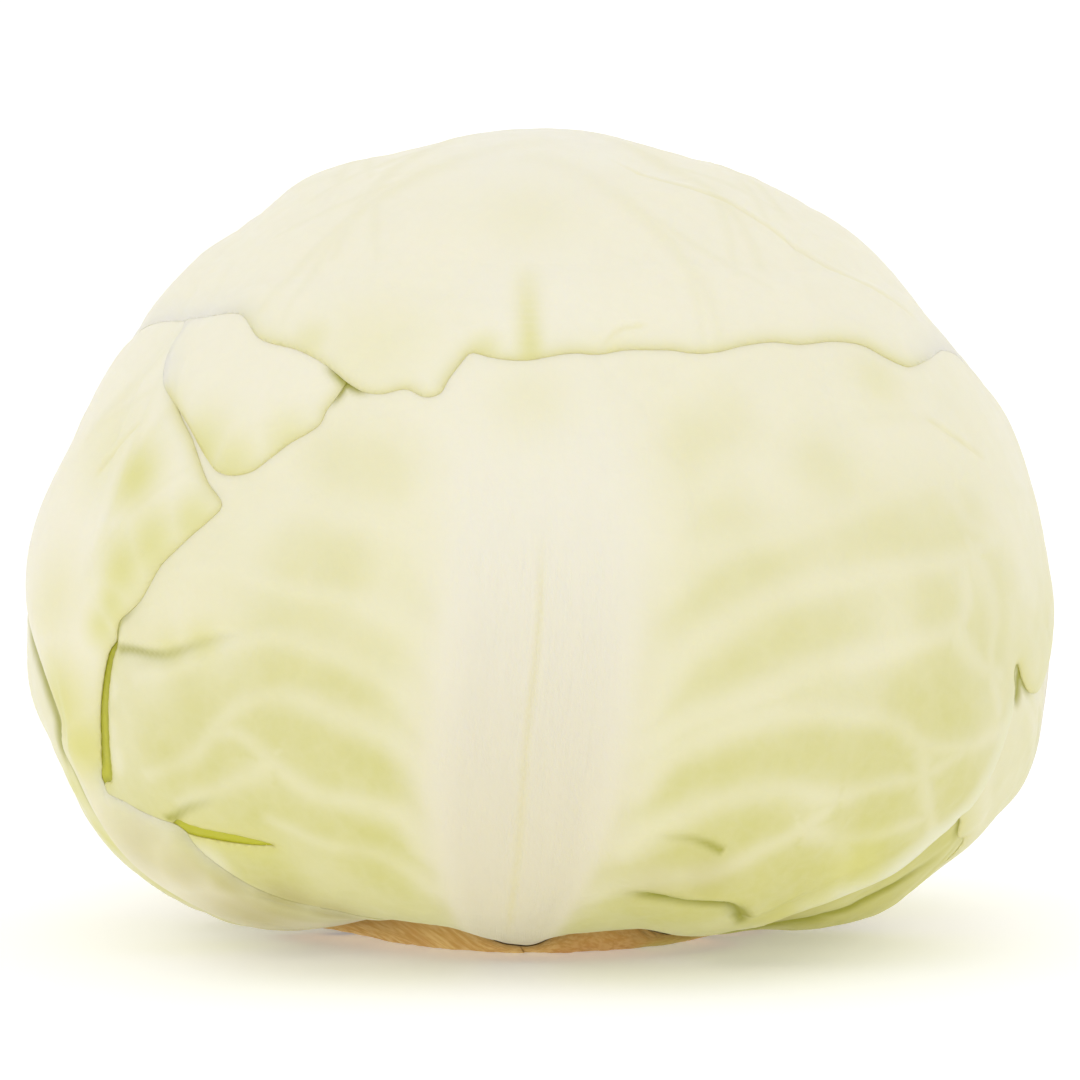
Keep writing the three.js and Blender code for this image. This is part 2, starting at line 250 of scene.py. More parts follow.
def divide(directions, triangles):
    """Each triangle into four, with the new corner in the middle of every edge."""
    edges = np.sort(triangles[:, [0, 1, 1, 2, 2, 0]].reshape(-1, 2), axis=1)
    keys, back = np.unique(edges[:, 0] * len(directions) + edges[:, 1], return_inverse=True)
    ends = np.stack([keys // len(directions), keys % len(directions)], axis=1)
    middles = unit(directions[ends[:, 0]] + directions[ends[:, 1]])
    ab, bc, ca = (len(directions) + back.reshape(-1, 3)).T
    a, b, c = triangles.T
    parts = np.stack([[a, ab, ca], [b, bc, ab], [c, ca, bc], [ab, bc, ca]]).transpose(2, 0, 1)
    middle_of = dict(zip(map(tuple, ends.tolist()), range(len(directions), len(directions) + len(ends))))
    return np.vstack([directions, middles]), parts.reshape(-1, 3), middle_of


class Weave:
    """Directions all round the head, the triangles between them, and the middles of the edges."""

    def __init__(self):
        g = (1 + 5 ** 0.5) / 2
        d = [(-1, g, 0), (1, g, 0), (-1, -g, 0), (1, -g, 0), (0, -1, g), (0, 1, g),
             (0, -1, -g), (0, 1, -g), (g, 0, -1), (g, 0, 1), (-g, 0, -1), (-g, 0, 1)]
        t = [(0, 11, 5), (0, 5, 1), (0, 1, 7), (0, 7, 10), (0, 10, 11), (1, 5, 9), (5, 11, 4),
             (11, 10, 2), (10, 7, 6), (7, 1, 8), (3, 9, 4), (3, 4, 2), (3, 2, 6), (3, 6, 8),
             (3, 8, 9), (4, 9, 5), (2, 4, 11), (6, 2, 10), (8, 6, 7), (9, 8, 1)]
        d, t = unit(np.array(d)), np.array(t)
        self.middle_of = {}
        for level in range(1, FINE + 1):
            d, t, middle_of = divide(d, t)
            if level == SPARSE:
                self.sparse = len(d)
            if level == COARSE:
                self.coarse = t
            if level > COARSE:
                self.middle_of.update(middle_of)
        self.directions, self.fine = d, t
        self.neighbours = self.across_edges()

    def across_edges(self):
        """For each coarse triangle, the one across each of its three edges."""
        t = self.coarse
        edges = np.sort(t[:, [0, 1, 1, 2, 2, 0]].reshape(-1, 2), axis=1)
        order = np.lexsort((edges[:, 1], edges[:, 0]))
        across = np.empty(len(edges), np.int64)
        across[order[0::2]] = order[1::2] // 3
        across[order[1::2]] = order[0::2] // 3
        return across.reshape(-1, 3)

    def along(self, a, b):
        """The fine corners between the ends of a coarse edge."""
        middle = self.middle_of[min(a, b), max(a, b)]
        first = self.middle_of[min(a, middle), max(a, middle)]
        last = self.middle_of[min(b, middle), max(b, middle)]
        return [first, middle, last]


weave = Weave()
EVERY = weave.directions


# ---------------------------------------------------------------- the leaves

class Leaf:
    """What one leaf is, before it is laid on the head. The places are all [longitude, latitude].

    margin and rib are lines. veins are (strength, line), grown laterals are side veins without a given
    line, and lines are fine cracks. tears are (line, height of the step) and get a painted shadow line along
    the step; slits are (width, line), a slight sink with painted shade along it; hems are rolled margins.
    spots are green patches; painted highlights and flush are (place, reach), where a painted highlight is a
    paler lit place and flush means that the margin lies tight; gold is (place, reach, amount), and so is
    painted shade.
    """

    def __init__(self, name, margin, rib, rib_height, rib_width, cream=0.3, seed=1, laterals=7,
                 rib_tone=1.0, veins=(), hems=(), tears=(), slits=(), lines=(), spots=(), bleached=(),
                 flush=(), gold=(), dull=()):
        self.name, self.margin, self.rib, self.seed = name, margin, rib, seed
        self.rib_height, self.rib_width, self.rib_tone = rib_height, rib_width, rib_tone
        self.laterals, self.veins, self.lines = laterals, veins, lines
        self.hems, self.tears, self.slits = hems, tears, slits
        self.cream, self.spots, self.bleached, self.gold, self.dull = cream, spots, bleached, gold, dull
        self.flush = flush


FRONT_RIGHT_EDGE = [
    [63.6, -7.7], [62.2, -11], [61.2, -13.5], [60, -16], [59, -18.4], [57.8, -20.6], [55.6, -22.8],
    [53.8, -25.4], [52.2, -27.3], [49.9, -28.8], [46.7, -30.5], [43.9, -32.4], [40.2, -34.5],
    [37.1, -37.2], [33, -40],
]

CROWN_FRONT = [
    [-66, 39.2], [-58.7, 39.9], [-50.6, 40.6], [-43.3, 37.5], [-35.6, 36.4], [-30.8, 34.9], [-27, 33.1],
    [-24.2, 32], [-21.6, 31.8], [-18.2, 32.5], [-15.3, 31.5], [-13.3, 32], [-12.5, 33.7], [-11.7, 35],
    [-10.8, 36.3], [-9.9, 37.3], [-7, 36.7], [-4.2, 36.3], [-1.4, 36.3], [0.7, 36.7], [5, 37.5],
    [8.5, 37.5], [12.2, 38.1], [15.9, 38.1], [19.6, 37.9], [23.2, 37.2], [26.2, 37.2], [30.5, 37.8],
    [35.7, 38], [39.8, 37.4], [44.5, 37.3], [48.1, 36.8], [51, 36], [54.2, 34], [57.5, 32.6],
    [63.5, 33], [72.4, 33.7],
]

LEAVES = [
    Leaf("inner_left_leaf", seed=11, cream=-0.6, rib_height=0.6, rib_width=12, laterals=0,
         rib=[[-20, -80], [-18, -20], [-18, 40]],
         margin=[[-38, 46], [0, 42], [18, 20], [10, -15], [-8, -45], [-8, -70], [-25, -82], [-65, -82],
                 [-76, -68], [-74, -45], [-88, -15], [-96, 20], [-76, 40]]),
    Leaf("lower_right_leaf", seed=12, cream=-0.1, rib_height=1.0, rib_width=12,
         rib=[[26, -80], [27, -30], [30, 20]],
         slits=[(1.6, [[36, -43], [40, -41], [44.8, -38.9], [47.5, -38], [49.6, -37], [51.9, -36],
                       [53.6, -34.6], [54.4, -33], [56, -31.3], [57.5, -29.9], [60, -27.5], [63, -25]]),
                (3.2, [[34, -44.5], [38, -42.5], [42, -40.8], [44.8, -39.4], [47.5, -38.5], [50, -37.6],
                       [54, -36]])],
         dull=[([36, -39], 6, 0.8), ([42, -38], 5, 0.6)],
         margin=[[54, 48], [86, 36], [104, 8], [100, -18], [86, -42], [74, -62], [78, -80], [40, -84],
                 [14, -78], [22, -60], [18, -40], [4, -15], [4, 15], [22, 38]]),
    Leaf("rear_left_leaf", seed=13, rib_tone=0.5, cream=0.6, rib_height=1.6, rib_width=16,
         slits=[(1.8, [[-67.3, -15.2], [-68.7, -12], [-67.9, -8.9], [-69, -6.7], [-70.7, -4.6],
                       [-73.1, -2.5], [-76.1, -0.4], [-80, 2.4], [-85, 5.6], [-90, 8.5]])],
         spots=[[-92, -6], [-84, -22], [-94, -26], [-90, -42], [-120, -8], [-124, -26], [-120, -42],
                [-102, -52]],
         gold=[([-69.5, -17], 5, 0.8), ([-69.5, -24], 6, 0.9), ([-68, -32], 6, 0.9),
               ([-66.5, -41], 6, 0.9)],
         rib=[[-104, -80], [-108, -30], [-114, 20], [-116, 50]],
         margin=[[-112, 58], [-78, 50], [-64, 30], [-64, 8], [-65, -6], [-64, -18], [-60, -34], [-64, -50],
                 [-70, -62], [-76, -78], [-104, -84], [-132, -78], [-134, -58], [-150, -38], [-166, -8],
                 [-168, 25], [-152, 52]]),
    Leaf("right_leaf", seed=14, cream=0.3, rib_height=1.6, rib_width=16,
         spots=[[100, 2], [104, -14], [112, -24], [104, -34], [96, -46], [84, -22], [80, -12]],
         slits=[(1.3, [[67.4, -1.2], [66.6, -2.8], [66.2, -4.2], [66.2, -5.6], [65.4, -7.6]])],
         rib=[[98, -80], [92, -30], [88, 20], [86, 50]],
         margin=[[86, 57], [120, 50], [142, 24], [138, -8], [124, -36], [114, -58], [118, -78], [92, -84],
                 [78, -78], [84, -62], [82, -46], [76, -34], [69.5, -26.5], [66, -23.3], [63.4, -22.8],
                 [61.6, -21.4], [60.4, -20], [56, -18], [44, -8], [40, 20], [50, 48]]),
    Leaf("rear_right_leaf", seed=15, cream=0.2, rib_height=1.6, rib_width=16,
         spots=[[120, 8], [112, -8], [126, -10], [124, -28], [150, 6], [158, -10], [150, -26], [164, -28],
                [152, 26], [120, 28], [166, 10], [128, -46]],
         rib=[[140, -80], [138, -30], [136, 20], [134, 50]],
         margin=[[134, 56], [164, 50], [-172, 24], [-176, -8], [172, -36], [162, -58], [164, -78],
                 [138, -84], [116, -78], [120, -58], [112, -38], [100, -14], [94, 14], [102, 46]]),
    Leaf("front_leaf", seed=16, cream=0.0, rib_height=3.2, rib_width=18, laterals=0,
         slits=[(1.2, [[32, -36], [30.6, -33.9], [28.7, -31.4], [26.8, -30.0], [25, -29.5], [22.1, -29.3],
                       [18.5, -28.9], [14, -28.4], [10, -28]])],
         dull=[([-37, -31], 5.5, 0.85), ([-32.5, -34], 5, 0.85), ([14.5, -26], 6, 0.35),
               ([20.5, -24.5], 5, 0.35), ([38, -34.5], 4, 0.6)],
         bleached=[([-55.4, -4], 2.5), ([-56.3, -9], 3), ([-56, -12], 3), ([-46, -24.5], 4)],
         gold=[([-1.4, 31], 7, 0.2), ([50, 31.5], 5, 0.3), ([25, -33], 5, 0.1), ([42.5, -24.5], 6, 0.85),
               ([46, -26], 4, 0.6), ([-61, -14], 4, 0.4), ([37, -33.5], 5, 0.8), ([41, -30.5], 4, 0.6),
               ([-44.5, 0.9], 3, 0.4), ([-40, 2], 3, 0.5)],
         lines=[[[55, 26.3], [60, 23.5], [66, 20]],
                [[0.2, 16.9], [0, 8], [-0.5, 1.4], [-1.3, -5.3], [-2, -14.4], [-2.6, -20.8], [-3.7, -28.9],
                 [-5.4, -40.4]]],
         rib=[[-6, -80], [-5.4, -45], [-3.7, -29], [-2, -14], [-0.4, 2], [0.2, 17], [-0.6, 28],
              [-1.4, 37], [-1, 52]],
         margin=[[0, 51], [34, 50], [60, 46], [78, 38], [88, 22], [88, 6], [80, -4.5], [74, -6.2],
                 [69.5, -5.8], [67.2, -4.2], [65.9, -2.4], [65.1, -2.6], [64.8, -3.6], [65, -5.1],
                 *FRONT_RIGHT_EDGE, [27, -45], [24, -52], [24, -62], [30, -76], [0, -84], [-36, -76],
                 [-30, -62], [-25, -52], [-27, -43], [-34, -37],
                 [-44, -32], [-50, -27], [-53.6, -23.6], [-54, -21.6], [-51.5, -21], [-49, -20.9],
                 [-46.6, -21.3], [-44.3, -21.5], [-41.5, -21.7], [-38.9, -21.8], [-36.2, -21.8],
                 [-34, -21.6], [-35.9, -21.2], [-38.3, -20.7], [-41.2, -20.3], [-44.2, -20],
                 [-46.3, -19.6], [-48.4, -19.1], [-50.2, -19.9], [-52, -20.2], [-57, -19.2], [-61.4, -17.4],
                 [-60.8, -15.6], [-58.8, -15], [-57, -9.9], [-56.2, -5.4], [-55.1, -1], [-54.3, 1.1],
                 [-57, 4], [-60, 10], [-62, 20], [-66, 32], [-60, 42], [-36, 49]],
         veins=[(0.3, [[13, 15.5], [19.2, 19.8], [24.4, 23.3], [29, 24.5], [40, 27], [56, 26]]),
                (0.45, [[14, 9], [17.9, 12.1], [20.8, 13.4], [28.5, 14.8], [35.4, 16.4], [44.7, 18.4],
                        [54.4, 19.5], [67.1, 17], [76, 16]]),
                (0.65, [[12, -4.5], [15.5, 1.2], [17.9, 3.3], [22.6, 6.2], [28.6, 8.2], [38.2, 9.4],
                        [44, 9.9], [52.7, 10.1], [62, 12]]),
                (0.7, [[12, -8.5], [16.7, -5.5], [22, -3.9], [27.2, -1.9], [32.2, 0.1], [38.5, 0.6],
                       [46.1, 1.9], [51.3, 2.8], [53.6, 4.8], [54, 9]]),
                (0.6, [[11, -13], [14.3, -9.4], [17.9, -7.7], [23.5, -5.7], [29.8, -5.1], [37.6, -5.9],
                       [42.7, -7.1], [46.7, -9.6], [54.4, -10.2], [61, -9]]),
                (0.6, [[10, -20.5], [15.4, -17], [20.8, -14.7], [28, -13.6], [36.2, -14.9], [41.6, -13.8],
                       [47.7, -13.3], [54, -10.4]]),
                (0.5, [[7, -28.5], [14, -25.5], [21.7, -23.8], [26.7, -21.1], [31.8, -18.7],
                       [36.2, -14.9]]),
                (0.4, [[51.3, 2.8], [55, -1], [60, -3]]), (0.35, [[46.7, -9.6], [49, -15], [54, -21]]),
                (0.35, [[56, 10.8], [59, 4], [58, -1], [60, -7]]), (0.3, [[54.4, 19.5], [57, 14], [62, 12]]),
                (0.3, [[31.8, -18.7], [38, -20.4], [45, -20], [52, -18.2]]),
                (0.3, [[38, -20.4], [42, -26], [43, -30]]),
                (0.25, [[-12.5, 22], [-18, 27], [-24, 30]]),
                (0.3, [[-10.5, 10], [-16, 16.5], [-24, 17.5], [-31, 18.6], [-42, 21]]),
                (0.35, [[-10, -1], [-13.5, 4.2], [-22.6, 7.8], [-30.1, 8.7], [-37.6, 10.2], [-43, 10]]),
                (0.45, [[-10.6, -8], [-15.5, -2.2], [-22.6, 1.4], [-30, 3.1], [-36, 2.2], [-41, 0],
                        [-50, -2.6]]),
                (0.45, [[-11.6, -14], [-14, -9.6], [-22.5, -5.3], [-29.7, -3.4], [-35, -4.5],
                        [-42, -10.6], [-50, -13.4]]),
                (0.45, [[-13, -20.9], [-16.3, -16.5], [-26.8, -13.9], [-31.3, -10.8], [-36.1, -7.6],
                        [-40, -8.6]]),
                (0.35, [[-31.3, -10.8], [-37, -13.4], [-46, -16.4]]),
                (0.35, [[-13.3, -27], [-19, -22], [-27, -20.4], [-33, -17.6]])],
         hems=[[[65, -4.6], *FRONT_RIGHT_EDGE]],
         tears=[([[-54.4, 0.7], [-50.9, 0.9], [-47.6, 0.7], [-45.3, 0.8], [-43.8, 1.2], [-41.6, 2],
                  [-40.2, 2.5], [-38.2, 3], [-36.2, 3.4], [-33, 3.6]], 0.9),
                ([[-50.4, -19.6], [-48.4, -19.1], [-44.5, -17.4], [-41.7, -16.5], [-38.4, -15.2]], -0.35),
                ([[30.3, -33.2], [29.6, -32.2], [28, -30.6], [26.4, -29.4], [24.8, -28.7],
                  [21.8, -28.5], [18.9, -28.5], [14.5, -27.8], [11, -27.6]], -1.7),
                ([[22.5, -20.7], [19, -19.2], [13.2, -18.5]], -0.2)],
         spots=[[19.3, 25.5], [24.5, 28.6], [35.6, 22.8], [21.5, 16.8], [35.3, 13.8], [43, 14.5],
                [51, 14], [57, 14.3], [60, 7.5], [49, 5.3], [56.5, 1], [17.4, -2.1], [23.5, 0.3],
                [29.6, 2.7], [35.5, 4.7], [17.4, 7.3], [21.6, 9.8], [26.4, 11.2], [45, -4.3],
                [50.5, -2.6], [50.9, -7.6], [17, -12.8], [21.8, -11.4], [26.6, -10.5], [32.3, -8.8],
                [40.7, -9.9], [43.3, -11.8], [42, -17.2], [25.3, -17.3], [37.8, -22.8], [32, -25],
                [18.5, -20.6], [54, -15], [-26, 23], [-18.5, 22.2], [-28.2, 12.2], [-23, 11.5],
                [-29.9, 2.9], [-26.2, 1], [-20.8, -1.2], [-41, -4.3], [-32, -4.3], [-27, -8.2],
                [-21.6, -10.3], [-18.4, -12], [-46.2, -10.2], [-36.5, -12], [-33.6, -16.3],
                [-24.2, -17.3], [-37, -26], [-20, -22], [19, -28.5], [24.5, -27], [17, -31],
                [35, -32], [46, -25]]),
    Leaf("left_leaf", seed=17, cream=0.95, rib_height=3.2, rib_width=15, laterals=5, rib_tone=0.2,
         dull=[([-56, -22.5], 7, 0.5), ([-50.5, -25.5], 6.5, 0.55), ([-45, -28.5], 6.5, 0.65),
               ([-40, -31.5], 6, 0.95), ([-34, -36], 6, 0.9), ([-48, -35], 9, 0.75), ([-52, -44], 10, 0.75)],
         spots=[[-61.5, -18], [-58, -23], [-52, -22], [-55, -30], [-47, -29], [-60, -36], [-50, -38],
                [-42, -35], [-36, -38], [-44, -45]],
         flush=[([-60.5, -16.4], 4), ([-57, -17.2], 5.5), ([-52, -20], 6), ([-47, -24], 7),
                ([-42, -28.8], 8), ([-34, -33.5], 8)],
         gold=[([-54.5, 19.3], 6, 0.85), ([-43.5, 15.3], 5, 0.7), ([-48.8, 12.2], 6.5, 0.8),
               ([-53, 9], 6.5, 0.85), ([-54.3, 5.2], 5, 0.85), ([-56.5, 2.5], 4, 0.8),
               ([-63, 22], 8, 0.3), ([-66, 4], 8, 0.35), ([-64.3, -6.5], 8, 1.0), ([-61.3, -11], 7, 1.0),
               ([-59, -18], 6, 0.3), ([-52, -22], 6, 0.25)],
         rib=[[-44, -80], [-47, -45], [-56, -27], [-62.3, -12], [-71, 6], [-82, 28], [-92, 48]],
         margin=[[-72, 50], [-61, 42], [-56.5, 35], [-53.8, 28.8], [-47.7, 24.3], [-43.2, 19.9], [-40, 17.2],
                 [-41.6, 15.2], [-43.4, 13.6], [-45.3, 11.8], [-47.2, 10], [-48.6, 7.7], [-49.7, 6],
                 [-51.5, 4.5], [-53.1, 3.5], [-54.4, 1.2], [-55.7, 0], [-56.7, -2.2], [-57.4, -4.5],
                 [-58.2, -7.3], [-58.9, -10.1], [-60, -13], [-61.2, -15.2], [-60.4, -16.4], [-57, -17.2],
                 [-53.9, -18.3], [-50.6, -19.4], [-48.7, -20.4], [-46.8, -23], [-44.2, -26.2],
                 [-42, -28.8], [-37.6, -31.7],
                 [-31.6, -34], [-27.6, -39], [-25, -48], [-22, -60], [-18, -72], [-30, -82], [-62, -80],
                 [-66, -66], [-60.5, -52], [-62.5, -41], [-64.7, -33], [-66, -25.3], [-66.2, -19],
                 [-66.5, -15], [-67.8, -11.6], [-66.9, -8.6], [-68, -6.4], [-69.8, -4.3],
                 [-72.2, -2.2], [-75, -0.3], [-78.5, 2], [-83, 5], [-89, 8.3], [-98, 11], [-112, 20],
                 [-114, 40], [-94, 52]],
         lines=[[[-58, 26], [-62, 22], [-65, 18]]]),
    Leaf("shoulder_leaf", seed=18, cream=0.7, rib_height=1.6, rib_width=15, laterals=6,
         spots=[[-128, -2], [-158, 4], [-135, -18], [-165, -14], [-118, 24], [-162, 28], [-140, 34],
                [-152, -34], [-170, -34], [-176, 12], [172, 30], [-172, -50]],
         flush=[([-66, 37], 9), ([-60, 32.5], 5)],
         gold=[([-46, 22.6], 7, 0.8), ([-40, 21.4], 6, 0.7), ([-33, 25.5], 5, 0.5)],
         rib=[[-148, -80], [-146, -30], [-142, 20], [-120, 60], [-70, 62]],
         margin=[[-65.4, 38.8], [-62.5, 35.4], [-60.8, 33.2], [-58.4, 30.9], [-53.8, 28.4], [-48.8, 25.6],
                 [-44.4, 22.5], [-42.1, 21.1], [-39.4, 20.8], [-36.9, 21.5], [-34.6, 23.4],
                 [-32.4, 25.3], [-30.6, 26.4], [-29.1, 27.7], [-28.7, 29.5], [-27.8, 31.2], [-27, 33.1],
                 [-24, 37], [-14, 47], [0, 60], [60, 72], [140, 60], [165, 30], [172, -5], [178, -35],
                 [-176, -60], [-164, -78], [-146, -84], [-126, -78], [-130, -58], [-140, -30],
                 [-134, -5], [-124, 16], [-108, 30], [-86, 38], [-72, 40.5]]),
    Leaf("crown_leaf", seed=19, cream=1.0, rib_height=3.0, rib_width=16, laterals=9,
         flush=[([-66, 39], 20), ([-90, 35], 16), ([74, 33], 15), ([92, 26], 10)],
         gold=[([-2.3, 50], 2.4, 0.12), ([-2.2, 48.8], 2.3, 0.2), ([-2.2, 47.6], 2.2, 0.26),
               ([-2.1, 46.4], 2.2, 0.32), ([-2, 45.2], 2.1, 0.38), ([-1.9, 44], 2.1, 0.44),
               ([-1.8, 42.8], 2, 0.5), ([-1.7, 41.6], 2, 0.55), ([-1.6, 40.4], 2, 0.6),
               ([-1.5, 39.2], 2.2, 0.65), ([-1.4, 38], 2.4, 0.7), ([-1.3, 36.8], 2.6, 0.7),
               ([-3, 60], 9, 0.15), ([-24, 37], 10, 0.25), ([-8, 37.5], 3, 0.5), ([-34, 37.5], 4, 0.4)],
         lines=[[[8.6, 37.7], [11.9, 40.4], [16.7, 41]],
                [[28.3, 75.4], [36.2, 70.3], [47.7, 64.4], [54.3, 57.4], [57.3, 48.8], [64, 41.9],
                 [69.9, 35.5]]],
         rib=[[180, -80], [180, -40], [180, 0], [180, 50], [0, 80], [-2, 56], [-1.2, 40]],
         margin=[
             *CROWN_FRONT, [90, 27], [106, 11], [118, -10], [130, -30], [148, -50], [156, -66], [148, -80],
             [180, -85], [-148, -80], [-156, -66], [-148, -48], [-134, -28], [-126, -8], [-118, 12],
             [-103, 28], [-82, 36]]),
]


# Where margins stand a little open, painted shade in a deep olive is laid on the leaf beneath, beside the
# margin: a place and its reach in mm. Elsewhere only a trace of this painted shade is laid.
SHADED_CREVICES = [([-27, 33.1], 4), ([-55, -1], 9), ([-58, -10], 10), ([-53, -21], 6), ([66, -4], 6),
         ([-69, -14], 8), ([-72, -4], 8), ([56, -24], 8), ([60, -20], 5)]
CREVICE_SHADE_TRACE = 0.05


def outside_of(leaf, d):
    """How far each direction is outside a leaf, in millimetres, and below 0 within it."""
    margin = Line(leaf.margin, closed=True)
    distance, _, side = margin.near(d)
    within = margin.near(direction(leaf.rib[len(leaf.rib) // 2]))[2][0]
    outside = np.where(side == within, -distance, distance)
    from_axis = outline_radius(d) * np.hypot(d[:, 0], d[:, 1])
    return np.where(d[:, 2] < 0, np.maximum(outside, STEM_ROOM - from_axis), outside)


def rib_of(leaf, d):
    """How much the rib thickens a leaf, how strongly it shows, and its own across and along, in mm."""
    distance, share, side = Line(leaf.rib).near(d)
    half = leaf.rib_width * (0.5 + 0.5 * smoothstep(share, 0.26, 0.54))
    half = half * (1 - 0.4 * smoothstep(share, 0.8, 1))
    height = leaf.rib_height * (0.5 + 0.5 * smoothstep(share, 0, 0.2))
    height = height * (1 - 0.88 * smoothstep(share, 0.2, 0.85)) * (1 - 0.4 * bump((share - 0.3) / 0.12))
    swelling = height * (1 - smoothstep(distance, 0.2 * half, 1.35 * half))
    shown = (1 - smoothstep(distance, 0.45 * half, 1.3 * half)) * (1 - 0.7 * smoothstep(share, 0.6, 0.95))
    return swelling, shown, side * distance, share


def deepest_mean(pile):
    """How deep the leaves lie round each direction: a smooth mean of the pile of leaves over it."""
    sources = EVERY[:weave.sparse].astype(np.float32)
    heights = pile[:weave.sparse].astype(np.float32)
    means = []
    for block in np.array_split(EVERY.astype(np.float32), 16):
        apart = np.maximum(2 - 2 * block @ sources.T, 0)
        weight = np.exp(-0.5 * apart / PACKING_SPREAD ** 2)
        means.append(weight @ heights / weight.sum(axis=1))
    return np.concatenate(means).astype(float)


def near_places(places, d):
    """1 at the given places, fading to 0 over each one's reach in millimetres."""
    total = np.zeros(len(d))
    for place, reach in places:
        apart = np.linalg.norm(d - direction(place), axis=1) * BLADE_RADIUS
        total = np.maximum(total, np.exp(-(apart / reach) ** 4))
    return total


def lay(leaf, leaves_over, pile):
    """Lay a leaf on the pile beneath it: where its two faces are, and how high the pile then is."""
    bared = np.prod([smoothstep(over.outside, -6, -1) for over in leaves_over], axis=0)
    near = np.flatnonzero(leaf.outside < 2 * DRAPE)
    swelling, leaf.rib_shown, leaf.across, leaf.along = np.zeros((4, len(EVERY)))
    fields = rib_of(leaf, EVERY[near])
    for whole, part in zip((swelling, leaf.rib_shown, leaf.across, leaf.along), fields):
        whole[near] = part
    within = np.maximum(-leaf.outside, 0)
    swelling *= smoothstep(within, 0, 7)
    leaf.pressed = near_places(leaf.flush, EVERY)
    thin = MARGIN_THICKNESS * (1 - 0.9 * leaf.pressed)
    run = 1.5 + 4 * leaf.pressed + 4 * (1 - bared)
    thickness = thin + (LEAF_THICKNESS - thin) * (1 - np.exp(-within / run))
    waves = 0.5 + 0.5 * noise(EVERY * BLADE_RADIUS, 14, leaf.seed)
    lift = MARGIN_LIFT * waves * np.exp(-(leaf.outside / 3.5) ** 2) * (1 - leaf.pressed)
    gap = MARGIN_GAP * (1 - 0.8 * leaf.pressed)
    leaf.low = pile + lift + gap + (LEAF_GAP - gap) * (1 - np.exp(-within / 4))
    leaf.high = leaf.low + thickness + swelling
    return pile + (leaf.high - pile) * (1 - smoothstep(leaf.outside, 0, DRAPE))


def pile_up():
    """Lay every leaf on the ones beneath it, and note where each is bare and how much painted crevice shade
    it takes beside the margins over it.
    """
    pile = np.zeros(len(EVERY))
    for leaf in LEAVES:
        leaf.outside = outside_of(leaf, EVERY)
    for n, leaf in enumerate(LEAVES):
        pile = lay(leaf, LEAVES[n + 1:], pile)
    open_margins = CREVICE_SHADE_TRACE + (1 - CREVICE_SHADE_TRACE) * near_places(SHADED_CREVICES, EVERY)
    bare, nook = np.ones(len(EVERY)), np.zeros(len(EVERY))
    for leaf in reversed(LEAVES):
        leaf.bare, leaf.nook = bare, nook
        bare = bare * smoothstep(leaf.outside, -0.5, 3.0)
        # deep is the painted crevice shade that this leaf lays on the leaves beneath, just outside its
        # margin.
        deep = np.exp(-(np.maximum(leaf.outside, 0) / 0.9) ** 2) * (1 - leaf.pressed)
        nook = np.maximum(np.where(leaf.outside > 0, nook, 0), deep * open_margins)
    return pile


# ---------------------------------------------------------------- the look of each leaf's outer face

def walk_vein(start, heading, turn, length, wander, stop):
    """A vein's places, growing from a point in a heading and slowly bending."""
    points, p, h = [start], start, heading
    for _ in range(int(length / VEIN_STEP)):
        p = unit(p + h * VEIN_STEP / BLADE_RADIUS)
        h = unit(h - p * np.dot(h, p))
        swing = math.radians(turn + wander.uniform(-2.5, 2.5))
        h = unit(h * math.cos(swing) + np.cross(p, h) * math.sin(swing))
        points.append(p)
        if stop(p):
            break
    return np.array(points)


def grow_veins(leaf):
    """Side veins that leave the rib in turn on both sides, each with a fork."""
    if not leaf.laterals:
        return []
    wander = np.random.default_rng(leaf.seed)
    rib = line_on_head(direction(leaf.rib))
    margin = Line(leaf.margin, closed=True)
    within = margin.near(direction(leaf.rib[len(leaf.rib) // 2]))[2][0]
    veins = []

    def past(p):
        return margin.near(p[None])[2][0] != within

    for side in (-1, 1):
        for n in range(leaf.laterals):
            share = 0.16 + 0.74 * (n + 0.25 * (side > 0) + wander.uniform(-0.15, 0.15)) / leaf.laterals
            i = min(int(share * len(rib)), len(rib) - 3)
            forward = unit(rib[i + 2] - rib[i])
            swing = math.radians(side * wander.uniform(52, 66))
            heading = forward * math.cos(swing) + np.cross(rib[i], forward) * math.sin(swing)
            vein = walk_vein(rib[i], heading, -side * 1.6, 85 - 30 * share, wander, past)
            veins.append((vein, 2.4, 0.3))
            for place, lean in ((0.45, 24), (0.7, -22)):
                k = max(1, int(place * len(vein)) - 1)
                if k + 1 >= len(vein):
                    continue
                ahead = unit(vein[k] - vein[k - 1])
                turn = math.radians(side * lean)
                fork = ahead * math.cos(turn) + np.cross(vein[k], ahead) * math.sin(turn)
                veins.append((walk_vein(vein[k], fork, side * 0.6, 26, wander, past), 1.3, 0.16))
    return veins


def vein_field(veins, d):
    """How high and how pale the veins make each direction."""
    tree = KDTree(sum(len(line) for line, _, _ in veins))
    sizes = []
    for line, half, height in veins:
        taper = 0.4 + 0.6 * np.linspace(1, 0, len(line)) ** 1.3
        for p, t in zip(line, taper):
            tree.insert(p, len(sizes))
            sizes.append((half * t, height * t))
    tree.balance()
    sizes = np.array(sizes)
    found = [tree.find(v)[1:] for v in d.tolist()]
    which, apart = np.array(found).T
    half, height = sizes[which.astype(int)].T
    apart = apart * BLADE_RADIUS
    ridge = np.exp(-(apart / (1.1 * half)) ** 2)
    shown = np.exp(-(apart / (1.3 * half)) ** 2) * np.minimum(1, 0.35 + 2.0 * height)
    return height * ridge, 0.6 * shown * (0.85 + 0.15 * noise(d * BLADE_RADIUS, 14, 61))


def veins_of(leaf):
    """All of a leaf's veins as dense lines, with half their width and their height in millimetres."""
    veins = grow_veins(leaf)
    veins += [(direction(places), 1.5 + 1.9 * strength, 0.5 * strength) for strength, places in leaf.veins]
    return [(line_on_head(line, spacing=VEIN_SPACING), half, height) for line, half, height in veins]


